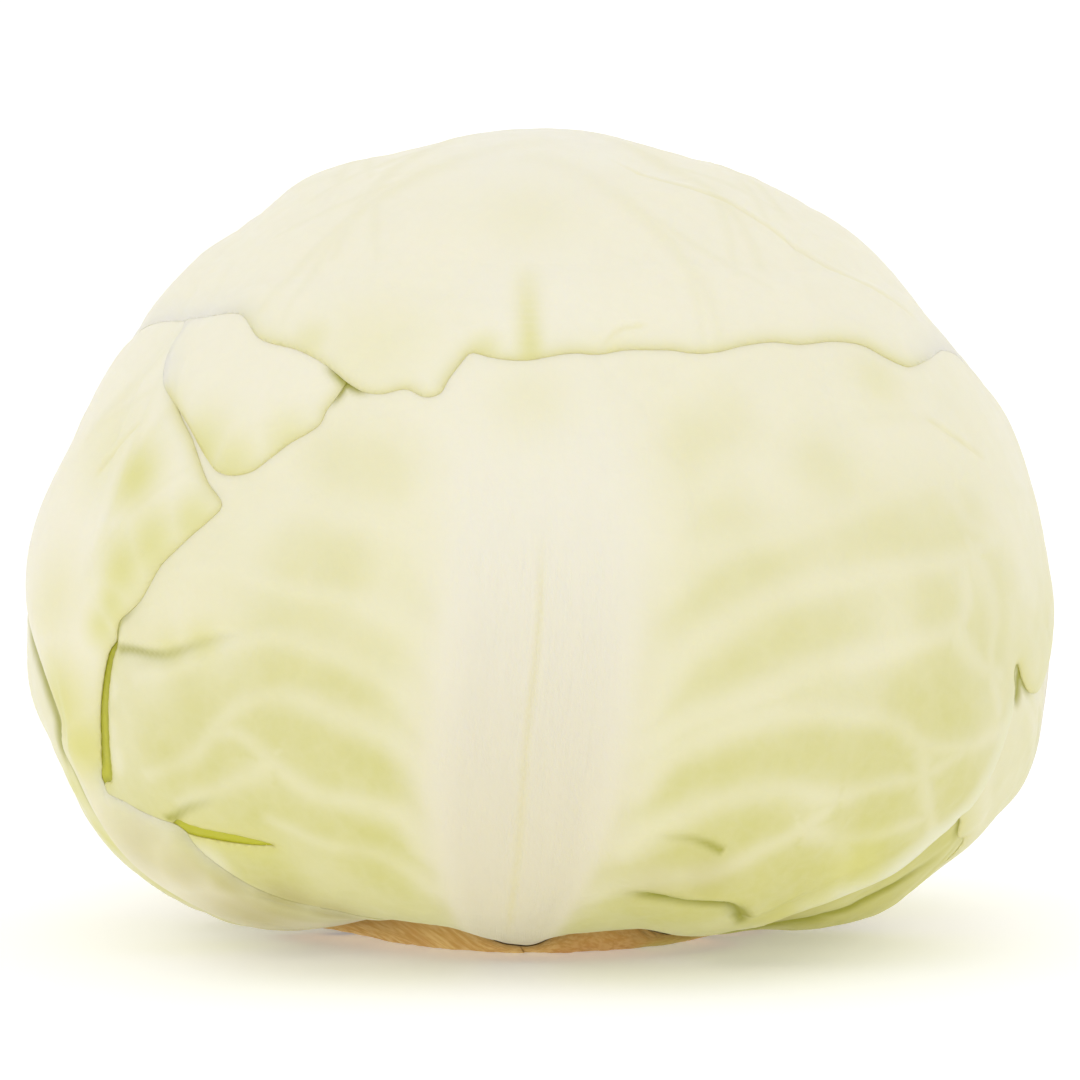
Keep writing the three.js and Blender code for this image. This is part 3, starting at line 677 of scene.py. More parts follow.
def add_hems(leaf, d, relief):
    """Raises the rolled margins, and gives how pale they make each direction."""
    pale = np.zeros(len(d))
    for places in leaf.hems:
        off, share, _ = Line(places).near(d)
        ends = ends_of(share, 0.08, 0.9)
        swell = 1.5 + 1.6 * smoothstep(share, 0.25, 0.6) * (1 - smoothstep(share, 0.75, 1))
        relief += 0.9 * ends * bump((off - 0.9 * swell) / (1.3 * swell))
        pale = np.maximum(pale, ends * bump((off - 0.9 * swell) / (1.7 * swell)))
    return pale


def add_creases(leaf, d, relief):
    """Steps the leaf at its tears and sinks it at its slits, and gives how much painted shade each direction
    takes along them.
    """
    crease = np.zeros(len(d))
    for places, height in leaf.tears:
        off, share, side = Line(places).near(d)
        ends = ends_of(share, 0.05, 0.6)
        up = side * np.sign(height) * off
        step = smoothstep(up, -0.8, 0.8) * np.exp(-np.maximum(up, 0) / 7)
        relief += abs(height) * ends * (step - 0.4 * np.exp(-((up + 1.2) / 1.3) ** 2))
        strong = 0.9 * (1 - 0.7 * smoothstep(share, 0.1, 0.7))
        crease = np.maximum(crease, 0.85 * strong * ends * np.exp(-((up + 0.6) / 0.8) ** 2))
    for width, places in leaf.slits:
        off, share, _ = Line(places).near(d)
        ends = ends_of(share, 0.12, 0.75)
        relief -= 0.5 * ends * np.exp(-(off / (0.7 * width)) ** 2)
        crease = np.maximum(crease, ends * np.exp(-(off / width) ** 2))
    return crease


def add_lines(leaf, d, relief):
    """Cuts the fine cracks with their low lips, and gives how much each direction shows of one."""
    shown = np.zeros(len(d))
    for places in leaf.lines:
        off, share, _ = Line(places).near(d)
        ends = ends_of(share, 0.15, 0.8)
        relief += 0.16 * ends * (np.exp(-((off - 1.0) / 0.8) ** 2) - np.exp(-(off / 0.6) ** 2))
        shown = np.maximum(shown, ends * np.exp(-(off / 0.55) ** 2))
    return shown


def greenness(leaf, d):
    """How green a blade is: more so low on the head and in the patches between its veins."""
    low = 1 - smoothstep(d[:, 2], -0.45, 0.6)
    patches = sum((np.exp(-(np.linalg.norm(d - place, axis=1) * BLADE_RADIUS / PATCH_REACH) ** 2)
                   for place in direction(leaf.spots)), 0.0) if leaf.spots else 0.0
    patches = patches / np.sqrt(1 + patches ** 2)
    mottle = layered_noise(d * BLADE_RADIUS, 18, leaf.seed + 70)
    return GREEN_EVERYWHERE + GREEN_LOW * low + GREEN_PATCH * patches + GREEN_MOTTLE * mottle


def look_at_leaf(leaf):
    """The relief and the colours of a leaf's outer face where it is bare."""
    seen = np.flatnonzero((leaf.outside < 1.5) & (leaf.bare > 0.001))
    d, rib = EVERY[seen], leaf.rib_shown[seen]
    within = np.maximum(-leaf.outside[seen], 0)
    veins = veins_of(leaf)
    ridge, vein = vein_field(veins, d) if veins else np.zeros((2, len(d)))
    fade = 1 - smoothstep(rib, 0.3, 1.0)
    relief = ridge * fade * smoothstep(within, 0, 4)
    blister = layered_noise(d * BLADE_RADIUS, 11, leaf.seed + 40)
    relief += 0.22 * blister * fade * smoothstep(within, 1, 6) * (1 - 0.6 * vein)
    along_rib = np.stack([leaf.across[seen] / 1.6, leaf.along[seen] * 6, 0 * within], axis=1)
    relief += 0.05 * noise(along_rib, 1, leaf.seed) * rib
    # crease is the painted shade along the tears and slits.
    hem, crease, line = (add(leaf, d, relief) for add in (add_hems, add_creases, add_lines))
    # calm pales the green at the painted highlights.
    calm = 1 - HIGHLIGHT_PALES * near_places(leaf.bleached, d)
    green = (greenness(leaf, d) - CREAM_PALES * leaf.cream) * fade * (1 - VEIN_PALES * vein) * calm
    looks = np.zeros((5, len(EVERY)))
    looks[:, seen] = vein * fade, green, hem, crease, line
    leaf.vein, leaf.green, leaf.hem, leaf.crease, leaf.line = looks
    leaf.high[seen] += relief * leaf.bare[seen]


# ---------------------------------------------------------------- from the weave to a closed shell

def cut_triangles(outside):
    """The parts inside the margin of the triangles that it crosses, and the edges that run along it."""
    inside = outside < 0
    count = inside[weave.fine].sum(axis=1)
    crossing = weave.fine[(count > 0) & (count < 3)].tolist()
    cuts, known, faces, rims = [], {}, [], []

    def cut(i, j):
        a, b = min(i, j), max(i, j)
        if (a, b) not in known:
            share = outside[a] / (outside[a] - outside[b])
            known[a, b] = len(EVERY) + len(cuts)
            cuts.append((a, b, min(max(share, 0.03), 0.97)))
        return known[a, b]

    for corners in crossing:
        loop = []
        for n in range(3):
            i, j = corners[n], corners[(n + 1) % 3]
            if inside[i]:
                loop.append(i)
            if inside[i] != inside[j]:
                loop.append(cut(i, j))
                if inside[i]:
                    leave = loop[-1]
                else:
                    enter = loop[-1]
        faces += [(loop[0], loop[n], loop[n + 1]) for n in range(1, len(loop) - 1)]
        rims.append((enter, leave))
    return np.array(cuts), np.array(faces), np.array(rims)


def whole_triangles(outside, may_be_coarse):
    """The triangles wholly inside the margin, coarse where they may be and joined to the fine ones."""
    full = (outside[weave.fine] < 0).all(axis=1)
    coarse = full.reshape(-1, PARTS).all(axis=1) & may_be_coarse
    fine = weave.fine[full & ~np.repeat(coarse, PARTS)]
    borders = ~coarse[weave.neighbours] & coarse[:, None]
    plain = weave.coarse[coarse & ~borders.any(axis=1)]
    fans = []
    for t in np.flatnonzero(borders.any(axis=1)):
        corners = weave.coarse[t].tolist()
        loop = []
        for n in range(3):
            a, b = corners[n], corners[(n + 1) % 3]
            loop += [a] + (weave.along(a, b) if borders[t, n] else [])
        ab = weave.middle_of[min(corners[:2]), max(corners[:2])]
        bc = weave.middle_of[min(corners[1:]), max(corners[1:])]
        hub = weave.middle_of[min(ab, bc), max(ab, bc)]
        fans += [(hub, loop[n], loop[(n + 1) % len(loop)]) for n in range(len(loop))]
    return np.vstack([fine, plain, np.array(fans or np.zeros((0, 3)), int)])


def make_mesh(name, points, faces, values=None, uv=None, crisp=0):
    """A smooth mesh object in metres, with its values as named attributes and its last faces crisp."""
    mesh = bpy.data.meshes.new(name)
    mesh.from_pydata((points * MM).tolist(), [], faces.tolist())
    for key, value in (values or {}).items():
        mesh.attributes.new(key, "FLOAT", "POINT").data.foreach_set("value", value.astype(np.float32))
    if uv is not None:
        layer = mesh.uv_layers.new(name="blade")
        corners = np.empty(len(mesh.loops), np.int32)
        mesh.loops.foreach_get("vertex_index", corners)
        layer.data.foreach_set("uv", uv[corners].astype(np.float32).ravel())
    mesh.polygons.foreach_set("use_smooth", np.arange(len(faces)) < len(faces) - crisp)
    piece = bpy.data.objects.new(name, mesh)
    bpy.context.scene.collection.objects.link(piece)
    return piece


def strongest(marks, weight=1.0):
    """The strongest of some marks at every direction: each is a place, its reach in mm and an amount."""
    total = np.zeros(len(EVERY))
    for place, reach, amount in marks:
        apart = np.linalg.norm(EVERY - direction(place), axis=1) * BLADE_RADIUS
        total = np.maximum(total, amount * weight * np.exp(-(apart / reach) ** 2))
    return total


def gold_of(leaf, within):
    """How yellow a leaf is: in a band along its margin, and round the places named for it."""
    uneven = 0.6 + 0.4 * noise(EVERY * BLADE_RADIUS, 20, leaf.seed + 90)
    band = 0.35 * uneven * np.exp(-(within / 2.6) ** 1.3) * (1 - leaf.pressed)
    return np.maximum(band, strongest(leaf.gold, 0.75 + 0.25 * uneven))


def leaf_faces(leaf):
    """A leaf's outer face, inner face and the rim between them, and the corners that the faces use."""
    cuts, cut_faces, rims = cut_triangles(leaf.outside)
    hidden = (leaf.bare[weave.fine].max(axis=1).reshape(-1, PARTS) <= 0).all(axis=1)
    outer = np.vstack([whole_triangles(leaf.outside, hidden), cut_faces])
    inner = np.vstack([whole_triangles(leaf.outside, np.ones(len(hidden), bool)), cut_faces])
    outer_keys, outer = np.unique(outer, return_inverse=True)
    inner_keys, inner = np.unique(inner, return_inverse=True)
    outer = outer.reshape(-1, 3)
    inner = inner.reshape(-1, 3)[:, ::-1] + len(outer_keys)
    enter, leave = (np.searchsorted(outer_keys, side) for side in rims.T)
    enter_low, leave_low = (np.searchsorted(inner_keys, side) + len(outer_keys) for side in rims.T)
    rim = np.vstack([np.stack([enter, leave, leave_low], 1), np.stack([enter, leave_low, enter_low], 1)])
    return cuts, outer_keys, inner_keys, np.vstack([outer, inner, rim]), len(rim)


def leaf_piece(leaf, base):
    """A leaf as one closed shell, with what its material needs to know of each point."""
    cuts, outer, inner, faces, rim = leaf_faces(leaf)
    first = np.concatenate([np.arange(len(EVERY)), cuts[:, 0].astype(int)])
    second = np.concatenate([np.arange(len(EVERY)), cuts[:, 1].astype(int)])
    share = np.concatenate([np.zeros(len(EVERY)), cuts[:, 2]])

    def at(field, keys):
        s = share[keys] if field.ndim == 1 else share[keys][:, None]
        return field[first[keys]] * (1 - s) + field[second[keys]] * s

    floor = np.where(EVERY[:, 2] < 0, (WAIST_HEIGHT - 0.3) / np.maximum(-EVERY[:, 2], 1e-6), np.inf)
    reach = np.minimum(base + leaf.high, floor)
    high = MIDDLE + EVERY * reach[:, None]
    low = MIDDLE + EVERY * np.minimum(base + leaf.low, reach - 0.15)[:, None]
    keys = np.concatenate([outer, inner])
    within = np.maximum(-leaf.outside, 0)
    edge = np.exp(-within / 0.8) * (1 - leaf.pressed)
    # nook and dull carry painted shade: beside margins, tears and slits, and at named places.
    values = {
        "rib": leaf.rib_tone * leaf.rib_shown, "vein": leaf.vein, "green": leaf.green,
        "edge": np.maximum(edge, 0.36 * leaf.line), "nook": np.maximum(leaf.nook, leaf.crease),
        "gold": gold_of(leaf, within), "hem": leaf.hem, "dull": strongest(leaf.dull),
    }
    values = {name: at(field, keys) for name, field in values.items()}
    skin = leaf.bare * smoothstep(within, 1.0, 5.0) * (1 - leaf.rib_shown)
    values["skin"] = np.concatenate([at(skin, outer), np.zeros(len(inner))])
    uv = np.stack([at(leaf.across, keys) / 100, at(leaf.along, keys)], axis=1)
    points = np.vstack([at(high, outer), at(low, inner)])
    return make_mesh(leaf.name + "_blade", points, faces, values, uv, rim)


# ---------------------------------------------------------------- materials

class Nodes:
    """A material's node tree, built with short calls."""

    def __init__(self, name):
        self.material = bpy.data.materials.new(name)
        self.material.use_nodes = True
        self.tree = self.material.node_tree
        self.tree.nodes.clear()

    def add(self, kind, settings=None, **inputs):
        """A node with its settings, and its inputs by name, or by number after an n."""
        node = self.tree.nodes.new(kind)
        for key, value in (settings or {}).items():
            setattr(node, key, value)
        for key, value in inputs.items():
            self.feed(node, key.replace("_", " "), value)
        return node

    def feed(self, node, key, value):
        socket = node.inputs[int(key[1:])] if key[0] == "n" and key[1:].isdigit() else node.inputs[key]
        if isinstance(value, bpy.types.NodeSocket):
            self.tree.links.new(value, socket)
        else:
            socket.default_value = value

    def value(self, name):
        """A value that the piece's points carry."""
        return self.add("ShaderNodeAttribute", {"attribute_name": name}).outputs["Fac"]

    def place(self):
        """A place on the piece in its own coordinates, in metres."""
        return self.add("ShaderNodeTexCoord").outputs["Object"]

    def lumps(self, vector, scale, detail=3.0, rough=0.5):
        node = self.add("ShaderNodeTexNoise", Vector=vector, Scale=scale, Detail=detail, Roughness=rough)
        return node.outputs["Fac"]

    def calc(self, kind, a, b=0.0, clamp=False):
        node = self.add("ShaderNodeMath", {"operation": kind, "use_clamp": clamp}, n0=a, n1=b)
        return node.outputs[0]

    def times(self, a, b):
        return self.calc("MULTIPLY", a, b)

    def remap(self, x, low, high, to_low=0.0, to_high=1.0):
        """A value taken smoothly from one range to another."""
        settings = {"interpolation_type": "SMOOTHSTEP"}
        node = self.add("ShaderNodeMapRange", settings, n0=x, n1=low, n2=high, n3=to_low, n4=to_high)
        return node.outputs[0]

    def mix(self, amount, a, b):
        """The first colour, turning into the second by an amount."""
        node = self.add("ShaderNodeMix", {"data_type": "RGBA"})
        self.feed(node, "n0", amount)
        self.feed(node, "n6", a)
        self.feed(node, "n7", b)
        return node.outputs[2]

    def bumps(self, height, distance, strength=1.0, normal=None):
        node = self.add("ShaderNodeBump", Height=height, Distance=distance, Strength=strength)
        if normal is not None:
            self.feed(node, "Normal", normal)
        return node.outputs[0]

    def skin(self, color, roughness, normal=None, soft=0.0, depth=(1, 0.8, 0.4), scale=0.004, glow=0.0):
        """The finished surface: how softly light soaks into it, how deep for each colour, and its glow."""
        shader = self.add("ShaderNodeBsdfPrincipled")
        self.feed(shader, "Base Color", color)
        self.feed(shader, "Roughness", roughness)
        shader.inputs["IOR"].default_value = 1.42
        shader.inputs["Subsurface Weight"].default_value = soft
        shader.inputs["Subsurface Radius"].default_value = depth
        shader.inputs["Subsurface Scale"].default_value = scale
        shader.inputs["Emission Color"].default_value = (1, 1, 1, 1)
        shader.inputs["Emission Strength"].default_value = glow
        if normal is not None:
            self.feed(shader, "Normal", normal)
        output = self.add("ShaderNodeOutputMaterial", Surface=shader.outputs[0])
        output.target = "ALL"
        return self.material


def shade(red, green, blue):
    """A colour from its 0 to 255 values as a screen shows them."""
    linear = [((c / 255 + 0.055) / 1.055) ** 2.4 for c in (red, green, blue)]
    return (*linear, 1.0)


# A skin's colours: where it is cream, its blade, its blade at the bottom of the head, darker there partly
# by painted shade, and its veins.
DEEP_SKIN = (shade(206, 204, 70), shade(196, 194, 44), shade(188, 186, 36), shade(214, 212, 100))
OLIVE_SKIN = (shade(221, 217, 158), shade(207, 203, 124), shade(196, 191, 98), shade(220, 216, 154))
OUTER_SKIN = (shade(241, 235, 211), shade(219, 214, 152), shade(205, 201, 122), shade(230, 225, 190))
SKINS = {"heart_leaf": DEEP_SKIN, "inner_left_leaf": DEEP_SKIN, "lower_right_leaf": OLIVE_SKIN}

# What is laid over a skin's colour, from the first to the last: a point's value, how much, and the colour.
# The painted shade coat and the crevice shade coat are painted shade.
COATS = [
    ("hem", 1.0, shade(231, 229, 203)), ("dull", 1.0, shade(187, 177, 111)),
    ("gold", 1.0, shade(215, 211, 121)), ("edge", 0.7, shade(227, 217, 130)),
    ("nook", 0.95, shade(152, 150, 8)),
]
# Height in metres over which a skin darkens toward the bottom of the head: partly its own colour, partly
# painted shade.
HEAD_TOP_SHADE = 0.105


def leaf_material(name):
    """Waxy leaf: green-yellow between pale veins, paler toward the crown and darker toward the bottom partly
    by painted shade, white ribs, thin yellow rims, and painted shade in crevices and along tears and slits.
    """
    cream, blade, shaded_blade_below, vein = SKINS.get(name, OUTER_SKIN)
    n = Nodes(name.replace("_", " "))
    where = n.place()
    height = n.add("ShaderNodeSeparateXYZ", Vector=where).outputs[2]
    # low darkens blade and rib toward the bottom of the head: partly their own colour, partly painted shade.
    low = n.remap(height, 0.0, HEAD_TOP_SHADE, 1.0, 0.0)
    mottle = n.remap(n.lumps(where, 150, 4, 0.6), 0.3, 0.75)
    body = n.mix(n.times(mottle, 0.12), n.mix(low, blade, shaded_blade_below), cream)
    patch = n.calc("ADD", n.value("green"), n.times(n.lumps(where, 60, 2), 0.16), clamp=True)
    color = n.mix(n.remap(patch, 0.05, 0.95), cream, body)
    color = n.mix(n.value("vein"), color, vein)
    color = n.mix(n.times(n.value("net"), 0.07), color, vein)
    rib = n.mix(low, shade(238, 234, 218), shade(221, 213, 184))
    color = n.mix(n.value("rib"), color, rib)
    for value, amount, coat in COATS:
        color = n.mix(n.times(n.value(value), amount), color, coat)
    along = n.add("ShaderNodeUVMap", {"uv_map": "blade"}).outputs[0]
    strands = n.lumps(n.add("ShaderNodeMapping", Vector=along, Scale=(900, 14, 1)).outputs[0], 1.0, 3)
    pores = n.lumps(where, 260, 3)
    normal = n.bumps(n.times(strands, n.value("rib")), 0.00008)
    normal = n.bumps(pores, 0.0003, 0.5, normal)
    normal = n.bumps(n.lumps(where, 900, 2), 0.00006, 0.6, normal)
    return n.skin(color, n.remap(pores, 0.2, 0.8, 0.38, 0.55), normal, 0.25, (1, 0.85, 0.35), 0.002)


def flesh_material():
    """Cut stem: cream flesh, drier and browner toward its rim, with a ring of darker strands."""
    n = Nodes("cut stem flesh")
    where = n.place()
    x, y, _ = n.add("ShaderNodeSeparateXYZ", Vector=where).outputs
    radius = n.calc("SQRT", n.calc("ADD", n.times(x, x), n.times(y, y)))
    off_ring = n.calc("ABSOLUTE", n.calc("SUBTRACT", radius, STRAND_RING_RADIUS * MM))
    ring = n.remap(off_ring, 0.0, 0.0022, 1.0, 0.0)
    rim = n.remap(radius, 0.0135, 0.0172)
    color = n.mix(n.lumps(where, 240, 4), shade(236, 224, 184), shade(214, 194, 140))
    color = n.mix(n.times(ring, n.lumps(where, 900, 2)), color, shade(168, 132, 84))
    color = n.mix(n.times(rim, 0.7), color, shade(170, 126, 76))
    normal = n.bumps(n.lumps(where, 420, 5, 0.65), 0.0006, 0.6)
    return n.skin(color, 0.62, normal, 0.15, (1, 0.7, 0.35), 0.003)


def stub_material():
    """Stubs of cut leaves: beige and finely striped, orange-brown where the cut has dried."""
    n = Nodes("leaf stub")
    where = n.place()
    turned = n.add("ShaderNodeMapping", {"vector_type": "TEXTURE"}, Vector=where, Rotation=(0.0, 0.7, 0.5),
                   Scale=(0.009, 0.0011, 0.0007)).outputs[0]
    stripes = n.lumps(turned, 1.0, 3)
    color = n.mix(n.remap(stripes, 0.35, 0.65), shade(244, 216, 145), shade(217, 177, 96))
    blotch = n.remap(n.lumps(where, 130, 4, 0.6), 0.5, 0.72)
    color = n.mix(n.times(blotch, 0.4), color, shade(222, 172, 96))
    color = n.mix(n.times(n.value("fresh"), 0.75), color, shade(196, 188, 92))
    color = n.mix(n.times(n.value("dry"), 0.8), color, shade(196, 138, 66))
    color = n.mix(n.remap(n.value("spot"), 0.2, 0.8), color, shade(104, 62, 34))
    normal = n.bumps(stripes, 0.0003, 0.7)
    normal = n.bumps(n.lumps(where, 500, 4), 0.0003, 0.5, normal)
    return n.skin(color, 0.6, normal, 0.12, (1, 0.7, 0.35), 0.002)


# ---------------------------------------------------------------- geometry node trees

def new_tree(name, inputs):
    """A geometry node tree with named inputs, and the node that gives them."""
    tree = bpy.data.node_groups.new(name, "GeometryNodeTree")
    tree.interface.new_socket("Geometry", in_out="INPUT", socket_type="NodeSocketGeometry")
    for key, kind in inputs:
        tree.interface.new_socket(key, in_out="INPUT", socket_type="NodeSocket" + kind)
    tree.interface.new_socket("Geometry", in_out="OUTPUT", socket_type="NodeSocketGeometry")
    return tree, tree.nodes.new("NodeGroupInput")


def put(tree, kind, settings=None, links=None, values=None):
    """A node with its settings, its linked inputs and its plain values, by socket name or number."""
    node = tree.nodes.new(kind)
    for key, value in (settings or {}).items():
        setattr(node, key, value)
    for key, socket in (links or {}).items():
        tree.links.new(socket, node.inputs[key])
    for key, value in (values or {}).items():
        node.inputs[key].default_value = value
    return node


def finish_tree(tree, geometry, material):
    """Ends a tree: instances made real and the material set."""
    real = put(tree, "GeometryNodeRealizeInstances", links={0: geometry}).outputs[0]
    named = put(tree, "GeometryNodeSetMaterial", links={"Geometry": real, "Material": material}).outputs[0]
    put(tree, "NodeGroupOutput", links={0: named})


def run_tree(piece, tree, values):
    """Sets the tree's inputs on a piece and turns the result into the piece's own plain mesh."""
    modifier = piece.modifiers.new(tree.name, "NODES")
    modifier.node_group = tree
    for item in tree.interface.items_tree:
        if item.in_out == "INPUT" and item.name in values:
            modifier[item.identifier] = values[item.name]
    graph = bpy.context.evaluated_depsgraph_get()
    mesh = bpy.data.meshes.new_from_object(piece.evaluated_get(graph), depsgraph=graph)
    piece.modifiers.remove(modifier)
    old, piece.data = piece.data, mesh
    bpy.data.meshes.remove(old)
    mesh.name = piece.name
    return piece


def skin_tree():
    """Fine relief of a leaf's bare skin: low blisters between a net of the smallest veins."""
    tree, given = new_tree("leaf skin", [
        ("Blister Size", "Float"), ("Blister Height", "Float"), ("Net Size", "Float"),
        ("Net Height", "Float"), ("Seed", "Float"), ("Material", "Material")])
    place = put(tree, "GeometryNodeInputPosition").outputs[0]
    shift = put(tree, "ShaderNodeCombineXYZ", links={0: given.outputs["Seed"]}).outputs[0]
    place = put(tree, "ShaderNodeVectorMath", {"operation": "ADD"}, {0: place, 1: shift}).outputs[0]

    def calc(kind, links, values=None):
        return put(tree, "ShaderNodeMath", {"operation": kind}, links, values).outputs[0]

    def per(size):
        return calc("DIVIDE", {1: given.outputs[size]}, {0: 1.0})

    blister = put(tree, "ShaderNodeTexNoise", {"normalize": False},
                  {"Vector": place, "Scale": per("Blister Size")}, {"Detail": 2.0}).outputs[0]
    cells = put(tree, "ShaderNodeTexVoronoi", {"feature": "DISTANCE_TO_EDGE"},
                {"Vector": place, "Scale": per("Net Size")}).outputs["Distance"]
    net = put(tree, "ShaderNodeMapRange", {"interpolation_type": "SMOOTHSTEP"}, {0: cells},
              {1: 0.0, 2: 0.16, 3: 1.0, 4: 0.0}).outputs[0]
    low = calc("MULTIPLY", {0: blister, 1: given.outputs["Blister Height"]})
    high = calc("MULTIPLY", {0: net, 1: given.outputs["Net Height"]})
    skin = put(tree, "GeometryNodeInputNamedAttribute", {"data_type": "FLOAT"}, values={"Name": "skin"})
    skin = skin.outputs[0]
    height = calc("MULTIPLY", {0: calc("ADD", {0: low, 1: high}), 1: skin})
    normal = put(tree, "GeometryNodeInputNormal").outputs[0]
    offset = put(tree, "ShaderNodeVectorMath", {"operation": "SCALE"},
                 {0: normal, "Scale": height}).outputs[0]
    shown = {"Geometry": given.outputs["Geometry"], "Value": calc("MULTIPLY", {0: net, 1: skin})}
    kept = put(tree, "GeometryNodeStoreNamedAttribute", {"data_type": "FLOAT", "domain": "POINT"}, shown,
               {"Name": "net"}).outputs[0]
    moved = put(tree, "GeometryNodeSetPosition", links={"Geometry": kept, "Offset": offset}).outputs[0]
    finish_tree(tree, moved, given.outputs["Material"])
    return tree


def bundle_tree():
    """The cut ends of the strands that run up the stem: a ring of small flat domes on its cut face."""
    tree, given = new_tree("strand ring", [
        ("Ring Radius", "Float"), ("Face Height", "Float"), ("Strands", "Int"), ("Strand Size", "Float"),
        ("Scatter", "Float"), ("Seed", "Int"), ("Material", "Material")])
    ring = put(tree, "GeometryNodeCurvePrimitiveCircle", links={
        "Resolution": given.outputs["Strands"], "Radius": given.outputs["Ring Radius"]}).outputs[0]
    lift = put(tree, "ShaderNodeCombineXYZ", links={2: given.outputs["Face Height"]}).outputs[0]
    ring = put(tree, "GeometryNodeSetPosition", links={"Geometry": ring, "Offset": lift}).outputs[0]
    points = put(tree, "GeometryNodeCurveToPoints", {"mode": "EVALUATED"}, {0: ring}).outputs[0]

    def scattered(low, high, kind, seed_shift):
        """A steady random value for each strand; the node keeps vectors and numbers in other sockets."""
        seed = put(tree, "ShaderNodeMath", {"operation": "ADD"}, {0: given.outputs["Seed"]}, {1: seed_shift})
        node = put(tree, "FunctionNodeRandomValue", {"data_type": kind}, {"Seed": seed.outputs[0]})
        place, result = (0, 0) if kind == "FLOAT_VECTOR" else (2, 1)
        node.inputs[place].default_value, node.inputs[place + 1].default_value = low, high
        return node.outputs[result]

    nudge = scattered((-1, -1, 0), (1, 1, 0), "FLOAT_VECTOR", 0.0)
    nudge = put(tree, "ShaderNodeVectorMath", {"operation": "SCALE"},
                {0: nudge, "Scale": given.outputs["Scatter"]}).outputs[0]
    points = put(tree, "GeometryNodeSetPosition", links={"Geometry": points, "Offset": nudge}).outputs[0]
    dome = put(tree, "GeometryNodeMeshIcoSphere", links={"Radius": given.outputs["Strand Size"]},
               values={"Subdivisions": 2}).outputs[0]
    dome = put(tree, "GeometryNodeTransform", links={"Geometry": dome},
               values={"Scale": (1, 1, 0.35)}).outputs[0]
    size = scattered(0.6, 1.25, "FLOAT", 7.0)
    domes = put(tree, "GeometryNodeInstanceOnPoints",
                links={"Points": points, "Instance": dome, "Scale": size})
    joined = put(tree, "GeometryNodeJoinGeometry", links={0: given.outputs["Geometry"]})
    tree.links.new(domes.outputs[0], joined.inputs[0])
    finish_tree(tree, joined.outputs[0], given.outputs["Material"])
    return tree


# ---------------------------------------------------------------- heart, stem and stubs

# The pit under the heart where the stem enters: how broad its slope is, and how near the middle it reaches.
PIT_SLOPE = 7
PIT_TOP = 30

# The stem from its cut face up: radius and height in millimetres.
STEM_PROFILE = [
    (2, 0.5), (4, 0.45), (6, 0.4), (8, 0.36), (10, 0.32), (11.5, 0.3), (13, 0.2), (14.5, 0.03), (15.6, 0.0),
    (16.4, 0.25), (16.8, 0.8), (17, 2), (17, 4), (17, 7), (16, 14), (14, 22), (10, 32),
]
STEM_STEP = 2.5
CUT_FACE_HEIGHT = 0.5

# Each stub: its middle's longitude, half its spread and its reach, and its seed. longer is how much further
# its left end reaches, and joined which end meets its neighbour's: 1 its last or -1 its first.
STUBS = {
    "leaf_stub_front_left": dict(longitude=-44, spread=39, reach=30.2, seed=401, longer=12.0, joined=1,
                                 spotted=True),
    "leaf_stub_front_right": dict(longitude=32, spread=36.9, reach=29.9, seed=402, joined=-1, fresh=True),
    "leaf_stub_right": dict(longitude=91, spread=22, reach=29.0, seed=403),
    "leaf_stub_back_right": dict(longitude=140, spread=24, reach=28.0, seed=404),
    "leaf_stub_back": dict(longitude=192, spread=25, reach=30.0, seed=405),
    "leaf_stub_left": dict(longitude=248, spread=27, reach=29.0, seed=406),
}
STUB_ACROSS = 72
STUB_OUT = 26
STUB_FLARE = 9.0
STUB_THINNEST = 0.5


def heart_piece(base):
    """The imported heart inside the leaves, hollow underneath where the stem enters."""
    corners, faces = np.unique(weave.coarse, return_inverse=True)
    d = EVERY[corners]
    from_axis = outline_radius(d) * np.hypot(d[:, 0], d[:, 1])
    pit = 1 - smoothstep(np.where(d[:, 2] < 0, from_axis, HEAD_WIDTH), STEM_ROOM, STEM_ROOM + PIT_SLOPE)
    radius = base[corners] * (1 - pit) + PIT_TOP * pit
    return make_mesh("heart_packed", MIDDLE + d * radius[:, None], faces.reshape(-1, 3))


def closed_rings(rings):
    """The points and faces of rings one after another, with the first and the last ring closed."""
    count = len(rings[0])
    points = np.vstack(rings + [rings[0].mean(axis=0), rings[-1].mean(axis=0)])
    faces = []
    for k in range(len(rings) - 1):
        for i in range(count):
            j = (i + 1) % count
            a, b, c, d = k * count + i, k * count + j, (k + 1) * count + j, (k + 1) * count + i
            faces += [(a, b, c), (a, c, d)]
    first, last, end = len(points) - 2, len(points) - 1, (len(rings) - 1) * count
    for i in range(count):
        j = (i + 1) % count
        faces += [(first, j, i), (last, end + i, end + j)]
    return points, np.array(faces)


def stem_piece(material):
    """The stem: its cut face below, a little rough from the knife, and its round side up into the heart."""
    turns = np.radians(np.arange(0, 360, STEM_STEP))
    rings = []
    for r, z in STEM_PROFILE:
        x, y = r * np.cos(turns), r * np.sin(turns)
        spot = np.stack([x, y, z + 0 * x], axis=1)
        out = r * (1 + 0.02 * noise(spot, 7, 301) + 0.008 * noise(spot, 2, 302))
        knife = 0.09 * (1 + noise(spot * [0.3, 1.6, 1], 2.2, 303)) if z < CUT_FACE_HEIGHT else 0 * x
        rings.append(np.stack([out * np.cos(turns), out * np.sin(turns), z + knife], axis=1))
    piece = make_mesh("cut_stem_face", *closed_rings(rings))
    return run_tree(piece, bundle_tree(), {
        "Ring Radius": STRAND_RING_RADIUS * MM, "Face Height": 0.00036, "Strands": 34,
        "Strand Size": 0.0007, "Scatter": 0.0006, "Seed": 5, "Material": material})


